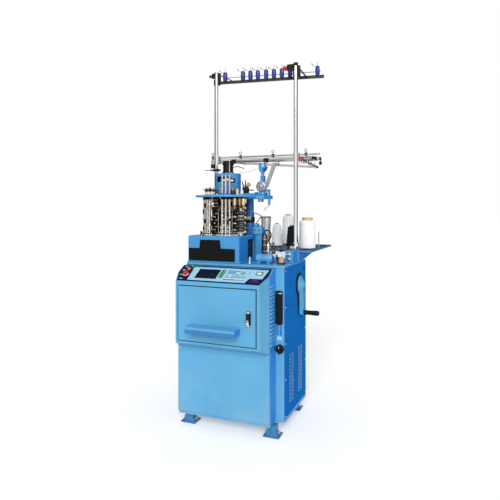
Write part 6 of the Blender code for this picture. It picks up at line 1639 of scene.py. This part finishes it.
# drum top: plated drive rod and black wire arms beside the motor, rim bolts, a clamp and two bands
drum = dict(rod=(-0.346, 0.121), bolts=12, boltRadius=0.070, clear=(285, 315))
armPath = [
    (-0.341, 0.176, 1.5820), (-0.322, 0.172, 1.6000), (-0.296, 0.168, 1.5930), (-0.274, 0.166, 1.5760),
    (-0.258, 0.164, 1.5740),
]
lowArm = [
    (-0.341, 0.168, 1.5560), (-0.318, 0.162, 1.5640), (-0.290, 0.160, 1.5560), (-0.262, 0.158, 1.5480)
]
thinPath = [
    (-0.300, 0.172, 1.5174), (-0.290, 0.172, 1.5300), (-0.262, 0.176, 1.5190), (-0.228, 0.186, 1.5330),
    (-0.188, 0.204, 1.5500),
]
armEye = put(swept(helix(0.0058, 0.003, 1.3, 14), 0.0011, 6), (-0.2530, 0.163, 1.5740), front)
driveRod = [
    (head["drumTop"], 1.5215, 0.0075, brass), (1.5216, 1.6010, 0.0030, chrome),
    (1.5840, 1.5900, 0.0055, blackPlastic),
]
boltAngles = np.arange(drum["bolts"]) * (360 / drum["bolts"]) + 180 / drum["bolts"]
clearLow, clearHigh = drum["clear"]
rimBolts = [
    polar(a, drum["boltRadius"], head["drumTop"]) for a in boltAngles if not clearLow < a < clearHigh
]
drumLow, drumHigh = boxOf("dial_housing")
drumRadius = (drumHigh[0] - drumLow[0]) / 2
drumCoats = collars(drum["rod"], driveRod) + [
    (joined([swept(eased(armPath), 0.0021, 8), swept(eased(lowArm), 0.0024, 8)]), blackPaint),
    (joined([swept(eased(thinPath), 0.0009, 6), armEye]), darkSteel),
    (repeated(screwHead, rimBolts), chrome),
    (put(hoop(0.0330, 0.0372, 1.5740, 1.5860, 40), onAxis), blackPlastic),
    (arcBlock(drumRadius - 0.0010, drumRadius + 0.0006, 1.4575, 1.4855, 296, 326, 9, 0.0003), blackPlastic),
    (arcBlock(drumRadius - 0.0012, drumRadius + 0.0014, 1.4655, 1.4770, 262, 318, 15, 0.0006), chrome),
]
make("drum_fittings", drumCoats)

# elastic feeder's wheel: a cast cap with six black discs for its holes: painted shade in the holes
wheel = dict(holes=6, holeRadius=0.0180, capDepth=0.0030)
wheelLow, wheelHigh = boxOf("feeder_wheel")
wheelX, _, wheelZ = (wheelLow + wheelHigh) / 2
capRows = [
    (0.0290, 0), (0.0290, 0.0015), (0.0245, 0.0040), (0.0240, 0.0030), (0.0120, 0.0030), (0.0110, 0.0065),
    (0.0060, 0.0085), (0.0020, 0.0085),
]
hole = turned([(0.0032, 0), (0.0032, 0.0006), (0.0026, 0.0008)], 12)
holes = []
for turn in np.arange(wheel["holes"]) * 2 * math.pi / wheel["holes"]:
    holeX = wheelX + wheel["holeRadius"] * math.cos(turn)
    holeZ = wheelZ + wheel["holeRadius"] * math.sin(turn)
    holes.append(put(hole, (holeX, wheelLow[1] - wheel["capDepth"], holeZ), front))
wheelCap = put(turned(capRows, 36), (wheelX, wheelLow[1] - 0.0001, wheelZ), front)
make("wheel_cap", [(wheelCap, castAlloy), (joined(holes), blackPaint)], "wheel")

# elastic feeder: grey ring behind the wheel, wing by the fork, strut cover, seat, plated pins and an eye
feeder = dict(screws=(-0.176, -0.144), screwZ=1.3900, pin=(-0.180, 0.1870), eye=(-0.116, 0.2150))
feederFront = boxOf("feeder_body")[0][1] - 0.0001
wing = slab([(0.0, 0.0), (0.030, 0.012), (0.024, -0.010), (0.008, -0.022), (-0.004, -0.012)], 0.006, 0.0015)
lowEye = [
    (-0.116, 0.2140, 1.3230), (-0.117, 0.2130, 1.3120), (-0.124, 0.2100, 1.3030), (-0.140, 0.2060, 1.3010),
    (-0.151, 0.2040, 1.2950), (-0.146, 0.2030, 1.2870), (-0.134, 0.2040, 1.2890), (-0.132, 0.2060, 1.2970),
    (-0.142, 0.2080, 1.2985),
]
eyeCollars = [(1.3130, 1.3199, 0.0056, chrome), (1.3200, 1.3260, 0.0080, brushed)]
strutCover = slab(
    [(-0.1545, 1.4300), (-0.1305, 1.4300), (-0.0690, 1.5846), (-0.0944, 1.5846)], 0.0140, 0.0012
)
housingRows = [(0.0335, 0), (0.0360, 0.0020), (0.0360, 0.0050), (0.0335, 0.0065), (0.0335, 0.0005)]
housing = put(turned(housingRows, 36, ring=True), (wheelX, wheelHigh[1] - 0.0040, wheelZ), front)
feederCoats = [(put(wing, (-0.151, 0.2070, 1.5480), front), royal)]
feederCoats.append((put(screwHead, (-0.160, 0.2075, 1.5080), front), chrome))
feederCoats += [
    (put(screwHead, (x, feederFront, feeder["screwZ"]), front), chrome) for x in feeder["screws"]
]
feederCoats += collars(feeder["pin"], [(1.3560, 1.3800, 0.0042, chrome)], 12)
feederCoats.append((swept(eased(lowEye), 0.0020, 8), chrome))
feederCoats += collars(feeder["eye"], eyeCollars, 16)
feederCoats += [
    (put(strutCover, (0, strut["foot"][1], 0), front), strutGrey),
    (housing, greyPlastic),
    (block((-0.2060, 0.1900, 1.3924), (-0.1420, 0.2180, wheelLow[2] - 0.0020), 0.003), blue),
    (block((-0.1860, 0.1960, 1.3380), (-0.1560, 0.2260, 1.3802), 0.003), castAlloy),
    (block((-0.1800, 0.1945, 1.3450), (-0.1620, 0.1965, 1.3620), 0.001), brass),
]
make("feeder_fittings", feederCoats)
print("plate and feeder dressed")


# camera at the photograph's place
camera = dict(place=(1.1275, -3.018, 1.30), yaw=22.0, length=35.5, shiftY=-0.084)
eye = bpy.data.cameras.new("eye")
eye.lens = camera["length"]
eye.shift_y = camera["shiftY"]
eyeObject = bpy.data.objects.new("eye", eye)
eyeObject.location = camera["place"]
eyeObject.rotation_euler = (math.pi / 2, 0.0, math.radians(camera["yaw"]))
bpy.context.scene.collection.objects.link(eyeObject)
bpy.context.scene.camera = eyeObject

# studio: white surroundings, a wide soft sun from just left of the camera, a weak one from the right
studio = dict(
    ambient=0.48,
    keyPower=2.14, keyWay=(-0.26, 0.84, -0.47), keySpread=34.0,
    fillPower=0.12, fillWay=(-0.80, 0.50, -0.34), fillSpread=50.0,
    floorGlow=0.28, floorHalf=40.0,
)
white = (1, 1, 1, 1)
world = bpy.data.worlds.new("studio")
bpy.context.scene.world = world
world.use_nodes = True
tree = world.node_tree
tree.nodes.clear()
path = addNode(tree, "ShaderNodeLightPath").outputs
seen = maths(tree, "MAXIMUM", path["Is Camera Ray"], path["Is Glossy Ray"])
seen = maths(tree, "MAXIMUM", seen, path["Is Transmission Ray"])
dim = addNode(tree, "ShaderNodeBackground", {"Color": white, "Strength": studio["ambient"]})
bright = addNode(tree, "ShaderNodeBackground", {"Color": white, "Strength": 1.0})
both = addNode(tree, "ShaderNodeMixShader", {0: seen, 1: dim.outputs[0], 2: bright.outputs[0]})
addNode(tree, "ShaderNodeOutputWorld", {"Surface": both.outputs[0]})


# sun that shines along a way, its light spread over an angle
def sunLamp(name, power, way, spread):
    light = bpy.data.lights.new(name, "SUN")
    light.energy = power
    light.angle = math.radians(spread)
    holder = bpy.data.objects.new(name, light)
    aim = np.array(way) / np.linalg.norm(way)
    holder.rotation_euler = (math.acos(-aim[2]), 0.0, math.atan2(aim[1], aim[0]) - math.pi / 2)
    bpy.context.scene.collection.objects.link(holder)


sunLamp("keyLamp", studio["keyPower"], studio["keyWay"], studio["keySpread"])
sunLamp("fillLamp", studio["fillPower"], studio["fillWay"], studio["fillSpread"])


# object of the studio, from its points and faces
def staged(name, points, faces, finish):
    mesh = bpy.data.meshes.new(name)
    mesh.from_pydata(points, [], faces)
    mesh.materials.append(finish)
    thing = bpy.data.objects.new(name, mesh)
    bpy.context.scene.collection.objects.link(thing)
    return thing


# dark screens round the back on both sides, which only the machine's polished metal mirrors
screens = dict(radius=4.2, foot=0.02, height=7.0, steps=16, spans=[(-20.0, 78.0), (102.0, 200.0)])
darkCloth, tree, shader = blank("screenCloth")
weave = ranged(tree, grain(tree, 30.0), 0.0, 1.0)
feed(shader, "Base Color", mixed(tree, weave, (0.04, 0.04, 0.042, 1), (0.07, 0.07, 0.072, 1)))
shader.inputs["Roughness"].default_value = 0.95
for number, (start, end) in enumerate(screens["spans"]):
    turn = np.radians(np.linspace(start, end, screens["steps"]) + camera["yaw"])
    ring = np.column_stack([np.cos(turn), np.sin(turn)]) * screens["radius"]
    rows = [np.column_stack([ring, np.full(len(ring), screens[key])]) for key in ("foot", "height")]
    faces = gridFaces(2, len(ring), wrapCols=False)
    screen = staged("screen%d" % number, np.concatenate(rows).tolist(), faces.tolist(), darkCloth)
    screen.visible_camera = False
    screen.visible_diffuse = False
    screen.visible_shadow = False

# pale floor that glows a little to the camera and in mirrors, so it is nearly white and keeps the shadow
floorFinish, tree, shader = blank("paleFloor")
mottle = ranged(tree, grain(tree, 2.0), 0.0, 1.0)
feed(shader, "Base Color", mixed(tree, mottle, (0.93, 0.93, 0.93, 1), (0.96, 0.96, 0.96, 1)))
shader.inputs["Roughness"].default_value = 0.9
path = addNode(tree, "ShaderNodeLightPath").outputs
seen = maths(tree, "MAXIMUM", path["Is Camera Ray"], path["Is Glossy Ray"])
lift = maths(tree, "MULTIPLY", seen, studio["floorGlow"])
glow = addNode(tree, "ShaderNodeEmission", {"Color": white, "Strength": lift})
lit = addNode(tree, "ShaderNodeAddShader", {0: shader.outputs[0], 1: glow.outputs[0]})
tree.links.new(lit.outputs[0], tree.nodes["Material Output"].inputs["Surface"])
half = studio["floorHalf"]
corners = [(-half, -half, 0), (half, -half, 0), (half, half, 0), (-half, half, 0)]
staged("floor", corners, [(0, 1, 2, 3)], floorFinish)
bpy.context.scene.view_settings.view_transform = "Standard"
print("studio lit")
